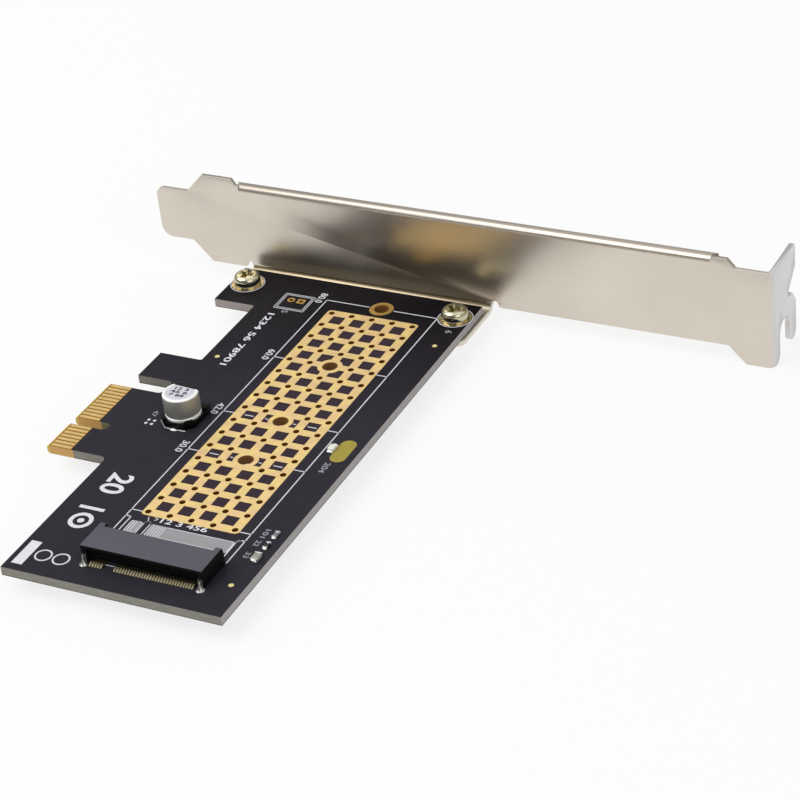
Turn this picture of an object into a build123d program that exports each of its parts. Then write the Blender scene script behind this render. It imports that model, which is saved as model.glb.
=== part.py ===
from build123d import *
import os

# Adapter card that holds a short solid-state drive on a one-lane edge card, with a full-height
# steel bracket. Sizes are in millimetres.
# X runs along the bracket, from its tongue at the low end to its screw tab.
# Y runs along the drive, from its socket towards the bracket. Z is up from the component side.
# The origin is the card stop inside the drive socket: on the drive's centre line, on the
# board's top face. Drive lengths are measured from it.

# Drive fixing holes
longest_drive = 80.0
shorter_drives = [60.0, 42.0, 30.0]
drive_hole_radius = 1.375
end_ring_radius = 2.2  # gold ring round the hole of the longest drive

# Board
board_thickness = 1.6
front_margin = 8.4  # board in front of the card stop
far_margin = 6.05  # board past the longest drive's hole
body_right = 17.0  # centre line to the right edge
body_left = 22.9  # centre line to the left edge
finger_reach = 11.9  # left edge to the tip of the edge contacts
hook_reach = 8.3  # left edge to the ends of the hook and the screw tab
screw_tab_length = 11.65
hook_length = 7.75
hook_radius = 0.4
latch_slot_width = 3.9
latch_slot_depth = 10.6
latch_slot_radius = 0.8  # corners at the slot's closed end
tongue_root_radius = 1.2  # inside corner between the short contacts and the left edge
slot_end_flat = 0.15  # straight stretch left between the two corners of a slot's end

# Edge contacts
key_y = 31.5  # middle of the key notch
key_width = 2.0
key_depth = 7.3
long_section = 11.0
short_section = 7.0
long_contacts = 11
short_contacts = 7
contact_pitch = 1.0
key_to_contact = 1.5  # key centre to the nearest contact centre
edge_contact_width = 0.7
edge_contact_length = 4.0
tip_to_contact = 0.75
bevel_length = 0.5
bevel_depth = 0.3
plating = 0.05  # thickness of every gold-plated face

# Gold heat pad
grid_pitch = 4.0
pad_columns = 5  # grid lines across
pad_first_row = 12.1
pad_margin = 0.95  # gold outside the grid's outer lines
pad_corner_radius = 0.8
pad_ring_gap = 0.3  # pad to the end ring, at least
window_side = 2.4
hole_land = 2.2  # radius of whole gold kept round each fixing hole

# Bracket sheet
sheet = 0.86
bracket_length = 120.02
screw_end_width = 18.42
panel_width = 18.0
panel_gap = 2.55  # board's far edge to the bracket's panel
tongue_below_fingers = 15.1
tongue_width = 10.19
tongue_lift = 3.98  # panel's lower edge to the tongue's lower edge
tongue_length = 6.6
tongue_slope = 3.65  # length of the sloping shoulders beside the tongue
tongue_low_radius = 2.2
tongue_high_radius = 1.5
tongue_inside_radius = 1.2  # between the tongue and its shoulders
panel_above_underside = 0.3  # board's underside to the panel's lower edge
end_drop = 3.27  # screw end of the panel, below the rest
low_shoulder = 8.15  # outer face of the screw tab to the lower shoulder
low_shoulder_run = 3.2
high_shoulder = 8.05  # outer face of the screw tab to the upper shoulder
high_shoulder_run = 1.45

# Stiffening lip along the bracket's upper edge
lip_drop = 1.2  # highest edge of the panel, beside the tongue, to the lip's face
lip_depth = 1.75
lip_inner_radius = 0.2
lip_start = 17.9  # tongue tip to the lip
lip_end = 10.9  # outer face of the screw tab to the lip
lip_step = 1.5  # lip to the panel's highest edge
lip_step_run = 0.8  # slope of that step
lip_flare = 0.9  # lip's free edge past its bend, at each end

# Mounting flange under the board
flange_inner_radius = 1.2
flange_left_margin = 2.9  # past the first screw
flange_right_margin = 3.5  # past the second screw
flange_past_screws = 5.35
flange_corner_radius = 2.0
relief_width = 1.6  # notch in the panel beside each end of the flange
relief_slope = 0.35  # width of each of its sloping sides
relief_height = 1.2
relief_radius = 0.4

# Screw tab
tab_depth = 11.43
tab_inside_radius = 0.45
tab_slot_width = 5.0
tab_slot_from_face = 5.65
tab_slot_depth = 6.9
tab_corner_radius = 0.5
tab_inner_radius = 1.6  # low corner between the bend and the slot
tab_notch_depth = 3.8
tab_notch_high = 4.3  # tab's upper edge to the notch
tab_notch_slope = 3.4
tab_notch_width = 1.0
tab_lobe_slope = 2.3
tab_lobe_slope_run = 1.7
tab_lobe_radius = 0.8  # ends of that slope
tab_lobe_gap = 0.5  # lobe stops this far above the tab's lower edge
tab_lobe_flat = 0.3  # straight stretch at the lobe's lower end

# Bracket screws
screw_from_far_edge = 4.9
screw_from_tab_end = 3.2
screw_from_right = 3.0
screw_radius = 1.25
screw_length = 4.0
screw_head_radius = 2.45
screw_head_height = 2.0
screw_head_round = 0.85  # radius between the head's side and its top
screw_fit_clearance = 0.05
board_screw_clearance = 0.2
screw_pad_radius = 2.95
recess_width = 0.9
recess_span = 3.1
recess_depth = 1.1

# Drive socket
socket_width = 21.9
socket_height = 3.2
socket_behind = 2.95  # card stop to the rear face
socket_ahead = 2.6  # card stop to the front of the roof
socket_side_wall = 0.85
card_slot_height = 0.95
card_slot_floor = 1.15
contact_groove = 0.5  # depth of the contact grooves above and below the card slot
groove_side_wall = 0.2
key_offset = 6.125
key_rib_width = 1.0
ear_width = 1.0
ear_reach = 1.15
ear_top_reach = 0.8
ear_drop = 0.9
rear_recess_depth = 0.8
rear_roof = 0.55  # roof above the rear recess
cheek_width = 0.9
back_wall = 0.45  # between the rear recess and the contacts' posts
peg_radius = 0.5
peg_length = 1.2
peg_clearance = 0.05
peg_inset = 1.3

# Drive socket contacts
pin_step = 0.25  # half of a row's pitch
pin_margin = 0.55  # outermost pin to the side of the grooves, at least
key_rib_clearance = 0.5  # key rib to the nearest pins' centres, at least
pin_width = 0.2
pin_thickness = 0.15
pin_rise = 0.45  # height at which a tail reaches its post
tail_slope = 0.3  # rear face to where a tail starts to rise
rear_tail = 0.65  # past the rear face
front_tail = 0.6  # past the front of the roof
tip_bow = 0.2
upper_tip_inset = 0.7  # front of the roof to the tip
upper_arm_slope = 1.3
lower_tip_inset = 1.1
lower_arm_slope = 0.9
hold_down_width = 0.8
hold_down_height = 1.6
hold_down_foot = 0.7
hold_down_sheet = 0.15

# Reservoir capacitor
can_radius = 3.15
can_top = 5.4
can_from_left = 6.6  # left edge of the board to the can's axis
can_y = 37.9
base_margin = 0.15  # can to the base's side
base_height = 0.9
base_corner = 1.3
post_height = 0.6
post_clearance = 0.1
post_length = 1.4
can_crimp_height = 0.75
can_crimp_depth = 0.22
can_rim = 0.45
can_rim_slope = 0.25
can_face_step = 0.08
lead_width = 0.7
lead_thickness = 0.15
lead_reach = 0.45
lead_inner = 1.0
lead_clearance = 0.05

# Small chips, their length along Y
chip_from_right = 2.0  # right edge of the board to the chips' line
small_chip_length = 1.6
small_chip_width = 0.8
small_chip_height = 0.45
large_chip_length = 2.0
large_chip_width = 1.25
large_chip_height = 0.7
chip_end = 0.3
chip_end_film = 0.03
small_chip_y = 12.75
resistor_y = 9.8
large_chip_y = 6.4
lamp_from_right = 4.75
lamp_y = 37.3
lamp_length = 2.0
lamp_width = 1.1
lamp_height = 0.6
lamp_base_height = 0.25

# Header pads and position marks
header_from_left = 5.6
header_pitch = 2.0
header_from_far = 7.95
header_hole_radius = 0.4
header_pad_radius = 0.72
mark_radius = 0.45
mark_from_right = 2.45
mark_front_y = -0.85
mark_far_y = 71.5
mark_from_left = 2.15
mark_left_y = 57.0

# Places on the board
board_far = longest_drive + far_margin
board_front = -front_margin
left_x = -body_left
finger_tip = left_x - finger_reach
hook_tip = left_x - hook_reach
slot_end = finger_tip + latch_slot_depth
key_end = finger_tip + key_depth
long_near = key_y + key_width / 2
long_far = long_near + long_section
short_far = key_y - key_width / 2
short_near = short_far - short_section
hook_near = long_far + latch_slot_width
hook_far = hook_near + hook_length
screw_tab_near = board_far - screw_tab_length
drive_holes = [(0, y) for y in [longest_drive] + shorter_drives]
screw_y = board_far - screw_from_far_edge
screw_xs = [hook_tip + screw_from_tab_end, body_right - screw_from_right]
screw_places = [(x, screw_y) for x in screw_xs]
board_screw_hole = screw_radius + board_screw_clearance
header_y = board_far - header_from_far
header_x = left_x + header_from_left
header_places = [(header_x, header_y), (header_x + header_pitch, header_y)]
peg_places = [(x * (socket_width / 2 - peg_inset), 0) for x in (-1, 1)]

# Places on the heat pad
pad_space = longest_drive - end_ring_radius - pad_ring_gap - pad_margin - pad_first_row
pad_rows = int(pad_space // grid_pitch) + 1
pad_width = (pad_columns - 1) * grid_pitch + 2 * pad_margin
pad_length = (pad_rows - 1) * grid_pitch + 2 * pad_margin
pad_middle = pad_first_row + (pad_rows - 1) * grid_pitch / 2

# Places on the bracket
lip_bend_radius = lip_inner_radius + sheet
flange_bend_radius = flange_inner_radius + sheet
tab_bend_radius = tab_inside_radius + sheet
panel_y = board_far + panel_gap
panel_back = panel_y + sheet
panel_low = panel_above_underside - board_thickness
panel_high = panel_low + panel_width
tongue_tip = finger_tip - tongue_below_fingers
tab_face = tongue_tip + bracket_length
tongue_low = panel_low + tongue_lift
tongue_high = tongue_low + tongue_width
tongue_root = tongue_tip + tongue_length
end_low = panel_low - end_drop
end_high = end_low + screw_end_width
bend_start = tab_face - tab_bend_radius
lip_face = panel_high - lip_drop
lip_bend = lip_face - lip_bend_radius
lip_left = tongue_tip + lip_start
lip_right = tab_face - lip_end
flange_bend = flange_bend_radius - board_thickness - sheet
flange_left = screw_xs[0] - flange_left_margin
flange_right = screw_xs[1] + flange_right_margin
flange_end = screw_y - flange_past_screws

# Places in the socket
socket_half = socket_width / 2
slot_half = socket_half - socket_side_wall
groove_half = slot_half - groove_side_wall
pin_reach = int((groove_half - pin_margin) / pin_step)  # pin places each side of the middle
key_gap = key_rib_width + 2 * key_rib_clearance
slot_ceiling = card_slot_floor + card_slot_height
groove_ceiling = slot_ceiling + contact_groove
groove_floor = card_slot_floor - contact_groove
recess_y = rear_recess_depth - socket_behind
groove_back = recess_y + back_wall
post_front = groove_back + pin_thickness


def save(piece, name):
    """Label a finished piece and write it under its own name."""
    piece.part.label = name
    export_step(piece.part, f"parts/{name}.step")


def block(low, high, mode=Mode.ADD):
    """Box between two opposite corners, added to the piece being built or cut from it."""
    with Locations(tuple((a + b) / 2 for a, b in zip(low, high))):
        Box(*[b - a for a, b in zip(low, high)], mode=mode)


def rounded_face(plane, corners):
    """Face on a plane, from corners that are two coordinates and a rounding radius each."""
    with BuildSketch(plane) as shape:
        with BuildLine():
            FilletPolyline(
                *[(a, b) for a, b, radius in corners],
                radius=[radius for a, b, radius in corners],
                close=True,
            )
        make_face()
    return shape.sketch


def edge_contact_rows():
    """Centre of every edge contact along the board's left edge."""
    long_row = [key_y + key_to_contact + i * contact_pitch for i in range(long_contacts)]
    short_row = [key_y - key_to_contact - i * contact_pitch for i in range(short_contacts)]
    return long_row + short_row


def socket_pins(first):
    """X place of every second pin from the given one on, without those that the key displaces."""
    places = [-n * pin_step for n in range(first, pin_reach + 1, 2)]
    return [x for x in places if abs(x + key_offset) > key_gap / 2]


def fold_section(plane, leg, radius):
    """Section of a quarter bend in the sheet and the leg beyond it.

    The plane's origin is where the bend's outer face starts, its local Y points along the
    panel into the bend and its local X points along the leg.
    """
    inner = radius - sheet
    with BuildSketch(plane) as section:
        with BuildLine():
            outer_arc = CenterArc((radius, 0), radius, 180, -90)
            inner_arc = CenterArc((radius, 0), inner, 90, 90)
            Polyline(outer_arc @ 1, (leg, radius), (leg, inner), inner_arc @ 0)
            Line(inner_arc @ 1, outer_arc @ 0)
        make_face()
    return section.sketch


def relief_outline(start, way):
    """Corners of the notch beside one end of the flange, from that end and the way it opens."""
    return [
        (start, panel_low, 0),
        (start + way * relief_slope, panel_low + relief_height, relief_radius),
        (start + way * (relief_width - relief_slope), panel_low + relief_height, relief_radius),
        (start + way * relief_width, panel_low, 0),
    ]


def flare_outline(end, way):
    """Corners of the lip's flared end, from the end of its bend and the way it points."""
    return [
        (end, panel_y + lip_bend_radius, 0),
        (end + way * lip_flare, panel_y + lip_depth, 0),
        (end, panel_y + lip_depth, 0),
    ]


def slot_corner(width):
    """Radius of the two corners at the closed end of a slot of this width."""
    return (width - slot_end_flat) / 2


def contact_row(path, places):
    """Row of equal strips of bent sheet, each following a path in Y and Z at its own X."""
    with BuildSketch(Plane.YZ.offset(-pin_width / 2)) as section:
        with BuildLine():
            Polyline(*path)
            offset(amount=pin_thickness, side=Side.LEFT, kind=Kind.INTERSECTION)
        make_face()
    with BuildPart() as strip:
        extrude(section.sketch, amount=pin_width)
    with BuildPart() as row:
        with Locations(*[(x, 0, 0) for x in places]):
            add(strip.part)
    return row


os.makedirs("parts", exist_ok=True)

# The board: one laminate with the edge-contact tongue, the hook, the screw tab and its holes.
outline = [
    (body_right, board_front, 0),
    (body_right, board_far, 0),
    (hook_tip, board_far, 0),
    (hook_tip, screw_tab_near, 0),
    (left_x, screw_tab_near, hook_radius),
    (left_x, hook_far, hook_radius),
    (hook_tip, hook_far, 0),
    (hook_tip, hook_near, 0),
    (slot_end, hook_near, latch_slot_radius),
    (slot_end, long_far, latch_slot_radius),
    (finger_tip, long_far, 0),
    (finger_tip, long_near, 0),
    (key_end, long_near, slot_corner(key_width)),
    (key_end, short_far, slot_corner(key_width)),
    (finger_tip, short_far, 0),
    (finger_tip, short_near, 0),
    (left_x, short_near, tongue_root_radius),
    (left_x, board_front, 0),
]
with BuildPart() as circuit_board:
    extrude(rounded_face(Plane.XY, outline), amount=-board_thickness)
    for lowest_or_highest in (0, -1):
        face = circuit_board.faces().filter_by(Axis.Z).sort_by(Axis.Z)[lowest_or_highest]
        tips = face.edges().filter_by(Axis.Y).group_by(Axis.X)[0]
        chamfer(tips, length=bevel_length, length2=bevel_depth, reference=face)
    with BuildSketch():
        with Locations(*drive_holes):
            Circle(drive_hole_radius)
        with Locations(*screw_places):
            Circle(board_screw_hole)
        with Locations(*header_places):
            Circle(header_hole_radius)
        with Locations(*peg_places):
            Circle(peg_radius + peg_clearance)
    extrude(amount=-board_thickness, mode=Mode.SUBTRACT)
save(circuit_board, "circuit_board")

# Gold-plated copper under the drive: a grid of square windows, with whole gold kept round
# each fixing hole.
with BuildPart() as heat_pad:
    with BuildSketch():
        with Locations((0, pad_middle)):
            RectangleRounded(pad_width, pad_length, pad_corner_radius)
            with GridLocations(grid_pitch, grid_pitch, pad_columns - 1, pad_rows - 1):
                Rectangle(window_side, window_side, mode=Mode.SUBTRACT)
        with Locations(*drive_holes[1:]):
            Circle(hole_land)
            Circle(drive_hole_radius, mode=Mode.SUBTRACT)
    extrude(amount=plating)
save(heat_pad, "heat_pad")

with BuildPart() as end_hole_ring:
    with BuildSketch():
        with Locations((0, longest_drive)):
            Circle(end_ring_radius)
            Circle(drive_hole_radius, mode=Mode.SUBTRACT)
    extrude(amount=plating)
save(end_hole_ring, "end_hole_ring")

# Edge contacts, one group on each face of the board.
contact_middle = finger_tip + tip_to_contact + edge_contact_length / 2
for name, level in (("edge_contacts_top", 0), ("edge_contacts_bottom", -board_thickness - plating)):
    with BuildPart() as edge_contacts:
        with BuildSketch(Plane.XY.offset(level)):
            with Locations(*[(contact_middle, y) for y in edge_contact_rows()]):
                Rectangle(edge_contact_length, edge_contact_width)
        extrude(amount=plating)
    save(edge_contacts, name)

# Gold rings under the screw heads.
with BuildPart() as screw_pads:
    with BuildSketch():
        with Locations(*screw_places):
            Circle(screw_pad_radius)
            Circle(board_screw_hole, mode=Mode.SUBTRACT)
    extrude(amount=plating)
save(screw_pads, "screw_pads")

# Pads of an empty two-pin header: a round one and a square one.
with BuildPart() as header_pads:
    with BuildSketch():
        with Locations(header_places[0]):
            Circle(header_pad_radius)
        with Locations(header_places[1]):
            Rectangle(2 * header_pad_radius, 2 * header_pad_radius)
        with Locations(*header_places):
            Circle(header_hole_radius, mode=Mode.SUBTRACT)
    extrude(amount=plating)
save(header_pads, "header_pads")

mark_places = [
    (body_right - mark_from_right, mark_front_y),
    (body_right - mark_from_right, mark_far_y),
    (left_x + mark_from_left, mark_left_y),
]
with BuildPart() as position_marks:
    with BuildSketch():
        with Locations(*mark_places):
            Circle(mark_radius)
    extrude(amount=plating)
save(position_marks, "position_marks")

# The bracket: one steel sheet. The panel is cut out flat, then folded four ways: a lip along
# its upper edge, a flange under the board and the screw tab, beside the plain tongue.
panel_outline = [
    (tongue_tip, tongue_low, tongue_low_radius),
    (tongue_root, tongue_low, tongue_inside_radius),
    (tongue_root + tongue_slope, panel_low, 0),
    (tab_face - low_shoulder, panel_low, 0),
    (tab_face - low_shoulder + low_shoulder_run, end_low, 0),
    (bend_start, end_low, 0),
    (bend_start, end_high, 0),
    (tab_face - high_shoulder + high_shoulder_run, end_high, 0),
    (tab_face - high_shoulder, lip_face, 0),
    (lip_left - lip_step + lip_step_run, lip_face, 0),
    (lip_left - lip_step, panel_high, 0),
    (tongue_root + tongue_slope, panel_high, 0),
    (tongue_root, tongue_high, tongue_inside_radius),
    (tongue_tip, tongue_high, tongue_high_radius),
]
notch_root = tab_depth - tab_notch_depth
notch_top = end_high - tab_notch_high
lobe_top = notch_top - tab_notch_slope - tab_notch_width
slot_side = tab_slot_width / 2
lobe_low = end_low + tab_lobe_gap
lobe_inner = tab_slot_from_face + slot_side
lobe_radius = (tab_depth - lobe_inner - tab_lobe_flat) / 2
tab_outline = [
    (panel_y + tab_bend_radius, end_high, 0),
    (panel_y + tab_depth, end_high, tab_corner_radius),
    (panel_y + tab_depth, notch_top, 0),
    (panel_y + notch_root, notch_top - tab_notch_slope, 0),
    (panel_y + notch_root, lobe_top, 0),
    (panel_y + tab_depth - tab_lobe_slope_run, lobe_top, tab_lobe_radius),
    (panel_y + tab_depth, lobe_top - tab_lobe_slope, tab_lobe_radius),
    (panel_y + tab_depth, lobe_low, lobe_radius),
    (panel_y + lobe_inner, lobe_low, lobe_radius),
    (panel_y + lobe_inner, end_low + tab_slot_depth, slot_corner(tab_slot_width)),
    (panel_y + tab_slot_from_face - slot_side, end_low + tab_slot_depth, slot_corner(tab_slot_width)),
    (panel_y + tab_slot_from_face - slot_side, end_low, tab_inner_radius),
    (panel_y + tab_bend_radius, end_low, 0),
]
lip_plane = Plane(origin=(lip_left, panel_y, lip_bend), x_dir=(0, 1, 0), z_dir=(1, 0, 0))
flange_plane = Plane(
    origin=(flange_left, panel_back, flange_bend), x_dir=(0, -1, 0), z_dir=(1, 0, 0)
)
tab_plane = Plane(origin=(bend_start, panel_y, end_high), x_dir=(0, 1, 0), z_dir=(0, 0, -1))
with BuildPart() as bracket:
    extrude(rounded_face(Plane.XZ.offset(-panel_back), panel_outline), amount=sheet)
    block((lip_left, panel_y, lip_bend), (lip_right, panel_back, lip_face), Mode.SUBTRACT)
    block((flange_left, panel_y, panel_low), (flange_right, panel_back, flange_bend), Mode.SUBTRACT)
    for start, way in ((flange_left, -1), (flange_right, 1)):
        relief = rounded_face(Plane.XZ.offset(-panel_back), relief_outline(start, way))
        extrude(relief, amount=sheet, mode=Mode.SUBTRACT)
    lip_section = fold_section(lip_plane, lip_depth, lip_bend_radius)
    extrude(lip_section, amount=lip_right - lip_left)
    for end, way in ((lip_left, -1), (lip_right, 1)):
        extrude(rounded_face(Plane.XY.offset(lip_face), flare_outline(end, way)), amount=-sheet)
    flange_section = fold_section(flange_plane, panel_back - flange_end, flange_bend_radius)
    extrude(flange_section, amount=flange_right - flange_left)
    tab_section = fold_section(tab_plane, tab_bend_radius + sheet / 2, tab_bend_radius)
    extrude(tab_section, amount=screw_end_width)
    extrude(rounded_face(Plane.YZ.offset(tab_face - sheet), tab_outline), amount=sheet)
    fillet(bracket.edges().filter_by(Axis.Z).group_by(Axis.Y)[0], flange_corner_radius)
    with BuildSketch(Plane.XY.offset(-board_thickness)):
        with Locations(*screw_places):
            Circle(screw_radius + screw_fit_clearance)
    extrude(amount=-sheet, mode=Mode.SUBTRACT)
save(bracket, "bracket")

# Pan-head screws with a cross recess, through the board into the flange.
head_top = plating + screw_head_height
with BuildPart() as bracket_screws:
    with Locations(*[(x, y, plating) for x, y in screw_places]):
        Cylinder(
            screw_head_radius,
            screw_head_height,
            align=(Align.CENTER, Align.CENTER, Align.MIN),
        )
    crown = bracket_screws.edges().filter_by(GeomType.CIRCLE).group_by(Axis.Z)[-1]
    fillet(crown, screw_head_round)
    with Locations(*[(x, y, plating) for x, y in screw_places]):
        Cylinder(screw_radius, screw_length, align=(Align.CENTER, Align.CENTER, Align.MAX))
    with BuildSketch(Plane.XY.offset(head_top)):
        with Locations(*screw_places):
            Rectangle(recess_span, recess_width)
            Rectangle(recess_width, recess_span)
    extrude(amount=-recess_depth, mode=Mode.SUBTRACT)
save(bracket_screws, "bracket_screws")

# Drive socket: a moulded housing with a card slot, a key rib in it, grooves for two rows of
# contacts, a recess behind for their tails, ears beside the mouth and pegs into the board.
cheek_half = socket_half - cheek_width
rib_half = key_rib_width / 2
ear_outline = [
    (socket_ahead, 0, 0),
    (socket_ahead + ear_reach, 0, 0),
    (socket_ahead + ear_reach, socket_height - ear_drop, 0),
    (socket_ahead + ear_top_reach, socket_height, 0),
    (socket_ahead, socket_height, 0),
]
with BuildPart() as socket_housing:
    block((-socket_half, -socket_behind, 0), (socket_half, socket_ahead, socket_height))
    for ear_x in (-socket_half, socket_half - ear_width):
        extrude(rounded_face(Plane.YZ.offset(ear_x), ear_outline), amount=ear_width)
    block(
        (-slot_half, 0, card_slot_floor),
        (slot_half, socket_ahead, slot_ceiling),
        Mode.SUBTRACT,
    )
    block(
        (-groove_half, groove_back, groove_floor),
        (groove_half, socket_ahead, groove_ceiling),
        Mode.SUBTRACT,
    )
    block(
        (-groove_half, recess_y, 0),
        (groove_half, post_front, groove_floor),
        Mode.SUBTRACT,
    )
    block(
        (-cheek_half, -socket_behind, 0),
        (cheek_half, recess_y, socket_height - rear_roof),
        Mode.SUBTRACT,
    )
    block(
        (-key_offset - rib_half, groove_back, groove_floor),
        (-key_offset + rib_half, socket_ahead, groove_ceiling),
    )
    with BuildSketch():
        with Locations(*peg_places):
            Circle(peg_radius)
    extrude(amount=-peg_length)
save(socket_housing, "socket_housing")

# Upper contacts: tails behind the housing, posts against its back wall, arms along the roof.
upper_tip = socket_ahead - upper_tip_inset
upper_path = [
    (upper_tip, slot_ceiling - tip_bow + pin_thickness),
    (upper_tip - upper_arm_slope, groove_ceiling),
    (groove_back, groove_ceiling),
    (groove_back, pin_rise),
    (-socket_behind + tail_slope, pin_thickness),
    (-socket_behind - rear_tail, pin_thickness),
]
socket_contacts_upper = contact_row(upper_path, socket_pins(-pin_reach))
save(socket_contacts_upper, "socket_contacts_upper")

# Lower contacts: tails in front of the housing's floor, arms lying on it.
lower_tip = socket_ahead - lower_tip_inset
lower_path = [
    (lower_tip - lower_arm_slope, groove_floor),
    (lower_tip, card_slot_floor + tip_bow - pin_thickness),
    (lower_tip + lower_arm_slope, groove_floor),
    (socket_ahead, groove_floor),
    (socket_ahead, 0),
    (socket_ahead + front_tail, 0),
]
socket_contacts_lower = contact_row(lower_path, socket_pins(1 - pin_reach))
save(socket_contacts_lower, "socket_contacts_lower")

# Hold-downs: bent tabs behind the housing's cheeks.
hold_down_outline = [
    (-socket_behind, 0, 0),
    (-socket_behind, hold_down_height, 0),
    (-socket_behind - hold_down_sheet, hold_down_height, 0),
    (-socket_behind - hold_down_sheet, hold_down_sheet, 0),
    (-socket_behind - hold_down_foot, hold_down_sheet, 0),
    (-socket_behind - hold_down_foot, 0, 0),
]
with BuildPart() as socket_hold_downs:
    for side in (-1, 1):
        start = side * (socket_half - cheek_width / 2) - hold_down_width / 2
        extrude(rounded_face(Plane.YZ.offset(start), hold_down_outline), amount=hold_down_width)
save(socket_hold_downs, "socket_hold_downs")

# Reservoir capacitor: a square base with corner posts, a round can and two flat leads.
can_x = left_x + can_from_left
base_half = can_radius + base_margin
base_side = 2 * base_half
post_from_axis = base_half - post_length
base_outline = [
    (can_x - base_half + base_corner, can_y - base_half, 0),
    (can_x + base_half - base_corner, can_y - base_half, 0),
    (can_x + base_half, can_y - base_half + base_corner, 0),
    (can_x + base_half, can_y + base_half, 0),
    (can_x - base_half, can_y + base_half, 0),
    (can_x - base_half, can_y - base_half + base_corner, 0),
]
with BuildPart() as capacitor_base:
    extrude(rounded_face(Plane.XY, base_outline), amount=base_height + post_height)
    with BuildSketch(Plane.XY.offset(base_height)):
        with Locations((can_x, can_y)):
            Circle(can_radius + post_clearance)
            Rectangle(base_side, 2 * post_from_axis)
            Rectangle(2 * post_from_axis, base_side)
    extrude(amount=post_height, mode=Mode.SUBTRACT)
    groove_side = lead_width / 2 + lead_clearance
    for side in (-1, 1):
        ends = sorted((can_y + side * lead_inner, can_y + side * base_half))
        block(
            (can_x - groove_side, ends[0], 0),
            (can_x + groove_side, ends[1], lead_thickness),
            Mode.SUBTRACT,
        )
save(capacitor_base, "capacitor_base")

crimp_low = base_height + can_crimp_height - can_crimp_depth
crimp_high = base_height + can_crimp_height + can_crimp_depth
can_profile = [
    (can_x, base_height, 0),
    (can_x + can_radius - can_crimp_depth, base_height, 0),
    (can_x + can_radius, base_height + can_crimp_depth, 0),
    (can_x + can_radius, crimp_low, 0),
    (can_x + can_radius - can_crimp_depth, base_height + can_crimp_height, 0),
    (can_x + can_radius, crimp_high, 0),
    (can_x + can_radius, can_top - can_rim_slope, 0),
    (can_x + can_radius - can_rim_slope, can_top, 0),
    (can_x + can_radius - can_rim, can_top, 0),
    (can_x + can_radius - can_rim - can_face_step, can_top - can_face_step, 0),
    (can_x, can_top - can_face_step, 0),
]
with BuildPart() as capacitor_can:
    can_axis = Axis((can_x, can_y, 0), (0, 0, 1))
    revolve(rounded_face(Plane.XZ.offset(-can_y), can_profile), axis=can_axis)
save(capacitor_can, "capacitor_can")

with BuildPart() as capacitor_leads:
    for side in (-1, 1):
        ends = sorted((can_y + side * lead_inner, can_y + side * (base_half + lead_reach)))
        block(
            (can_x - lead_width / 2, ends[0], 0),
            (can_x + lead_width / 2, ends[1], lead_thickness),
        )
save(capacitor_leads, "capacitor_leads")

# Chips: a body between two metal ends.
chip_x = body_right - chip_from_right
film = chip_end_film
for name, y, length, width, height in (
    ("small_chip", small_chip_y, small_chip_length, small_chip_width, small_chip_height),
    ("resistor", resistor_y, small_chip_length, small_chip_width, small_chip_height),
    ("large_chip", large_chip_y, large_chip_length, large_chip_width, large_chip_height),
):
    body_half = length / 2 - chip_end
    with BuildPart() as chip_body:
        block(
            (chip_x - width / 2 + film, y - body_half, film),
            (chip_x + width / 2 - film, y + body_half, height - film),
        )
    save(chip_body, name + "_body")
    with BuildPart() as chip_ends:
        for side in (-1, 1):
            ends = sorted((y + side * body_half, y + side * length / 2))
            block((chip_x - width / 2, ends[0], 0), (chip_x + width / 2, ends[1], height))
    save(chip_ends, name + "_ends")

# Signal lamp: a clear lens on a small white base between two metal ends.
lamp_x = body_right - lamp_from_right
lamp_half = lamp_length / 2 - chip_end
with BuildPart() as lamp_base:
    block(
        (lamp_x - lamp_width / 2, lamp_y - lamp_half, 0),
        (lamp_x + lamp_width / 2, lamp_y + lamp_half, lamp_base_height),
    )
save(lamp_base, "lamp_base")
with BuildPart() as lamp_lens:
    block(
        (lamp_x - lamp_width / 2, lamp_y - lamp_half, lamp_base_height),
        (lamp_x + lamp_width / 2, lamp_y + lamp_half, lamp_height),
    )
save(lamp_lens, "lamp_lens")
with BuildPart() as lamp_ends:
    for side in (-1, 1):
        ends = sorted((lamp_y + side * lamp_half, lamp_y + side * lamp_length / 2))
        block(
            (lamp_x - lamp_width / 2, ends[0], 0),
            (lamp_x + lamp_width / 2, ends[1], lamp_base_height),
        )
save(lamp_ends, "lamp_ends")
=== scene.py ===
"""Looks of a card that carries a small solid-state drive on a one-lane edge card."""

import logging
import math
from dataclasses import dataclass
from enum import Enum

import bmesh
import bpy
from mathutils import Matrix, Vector


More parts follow.
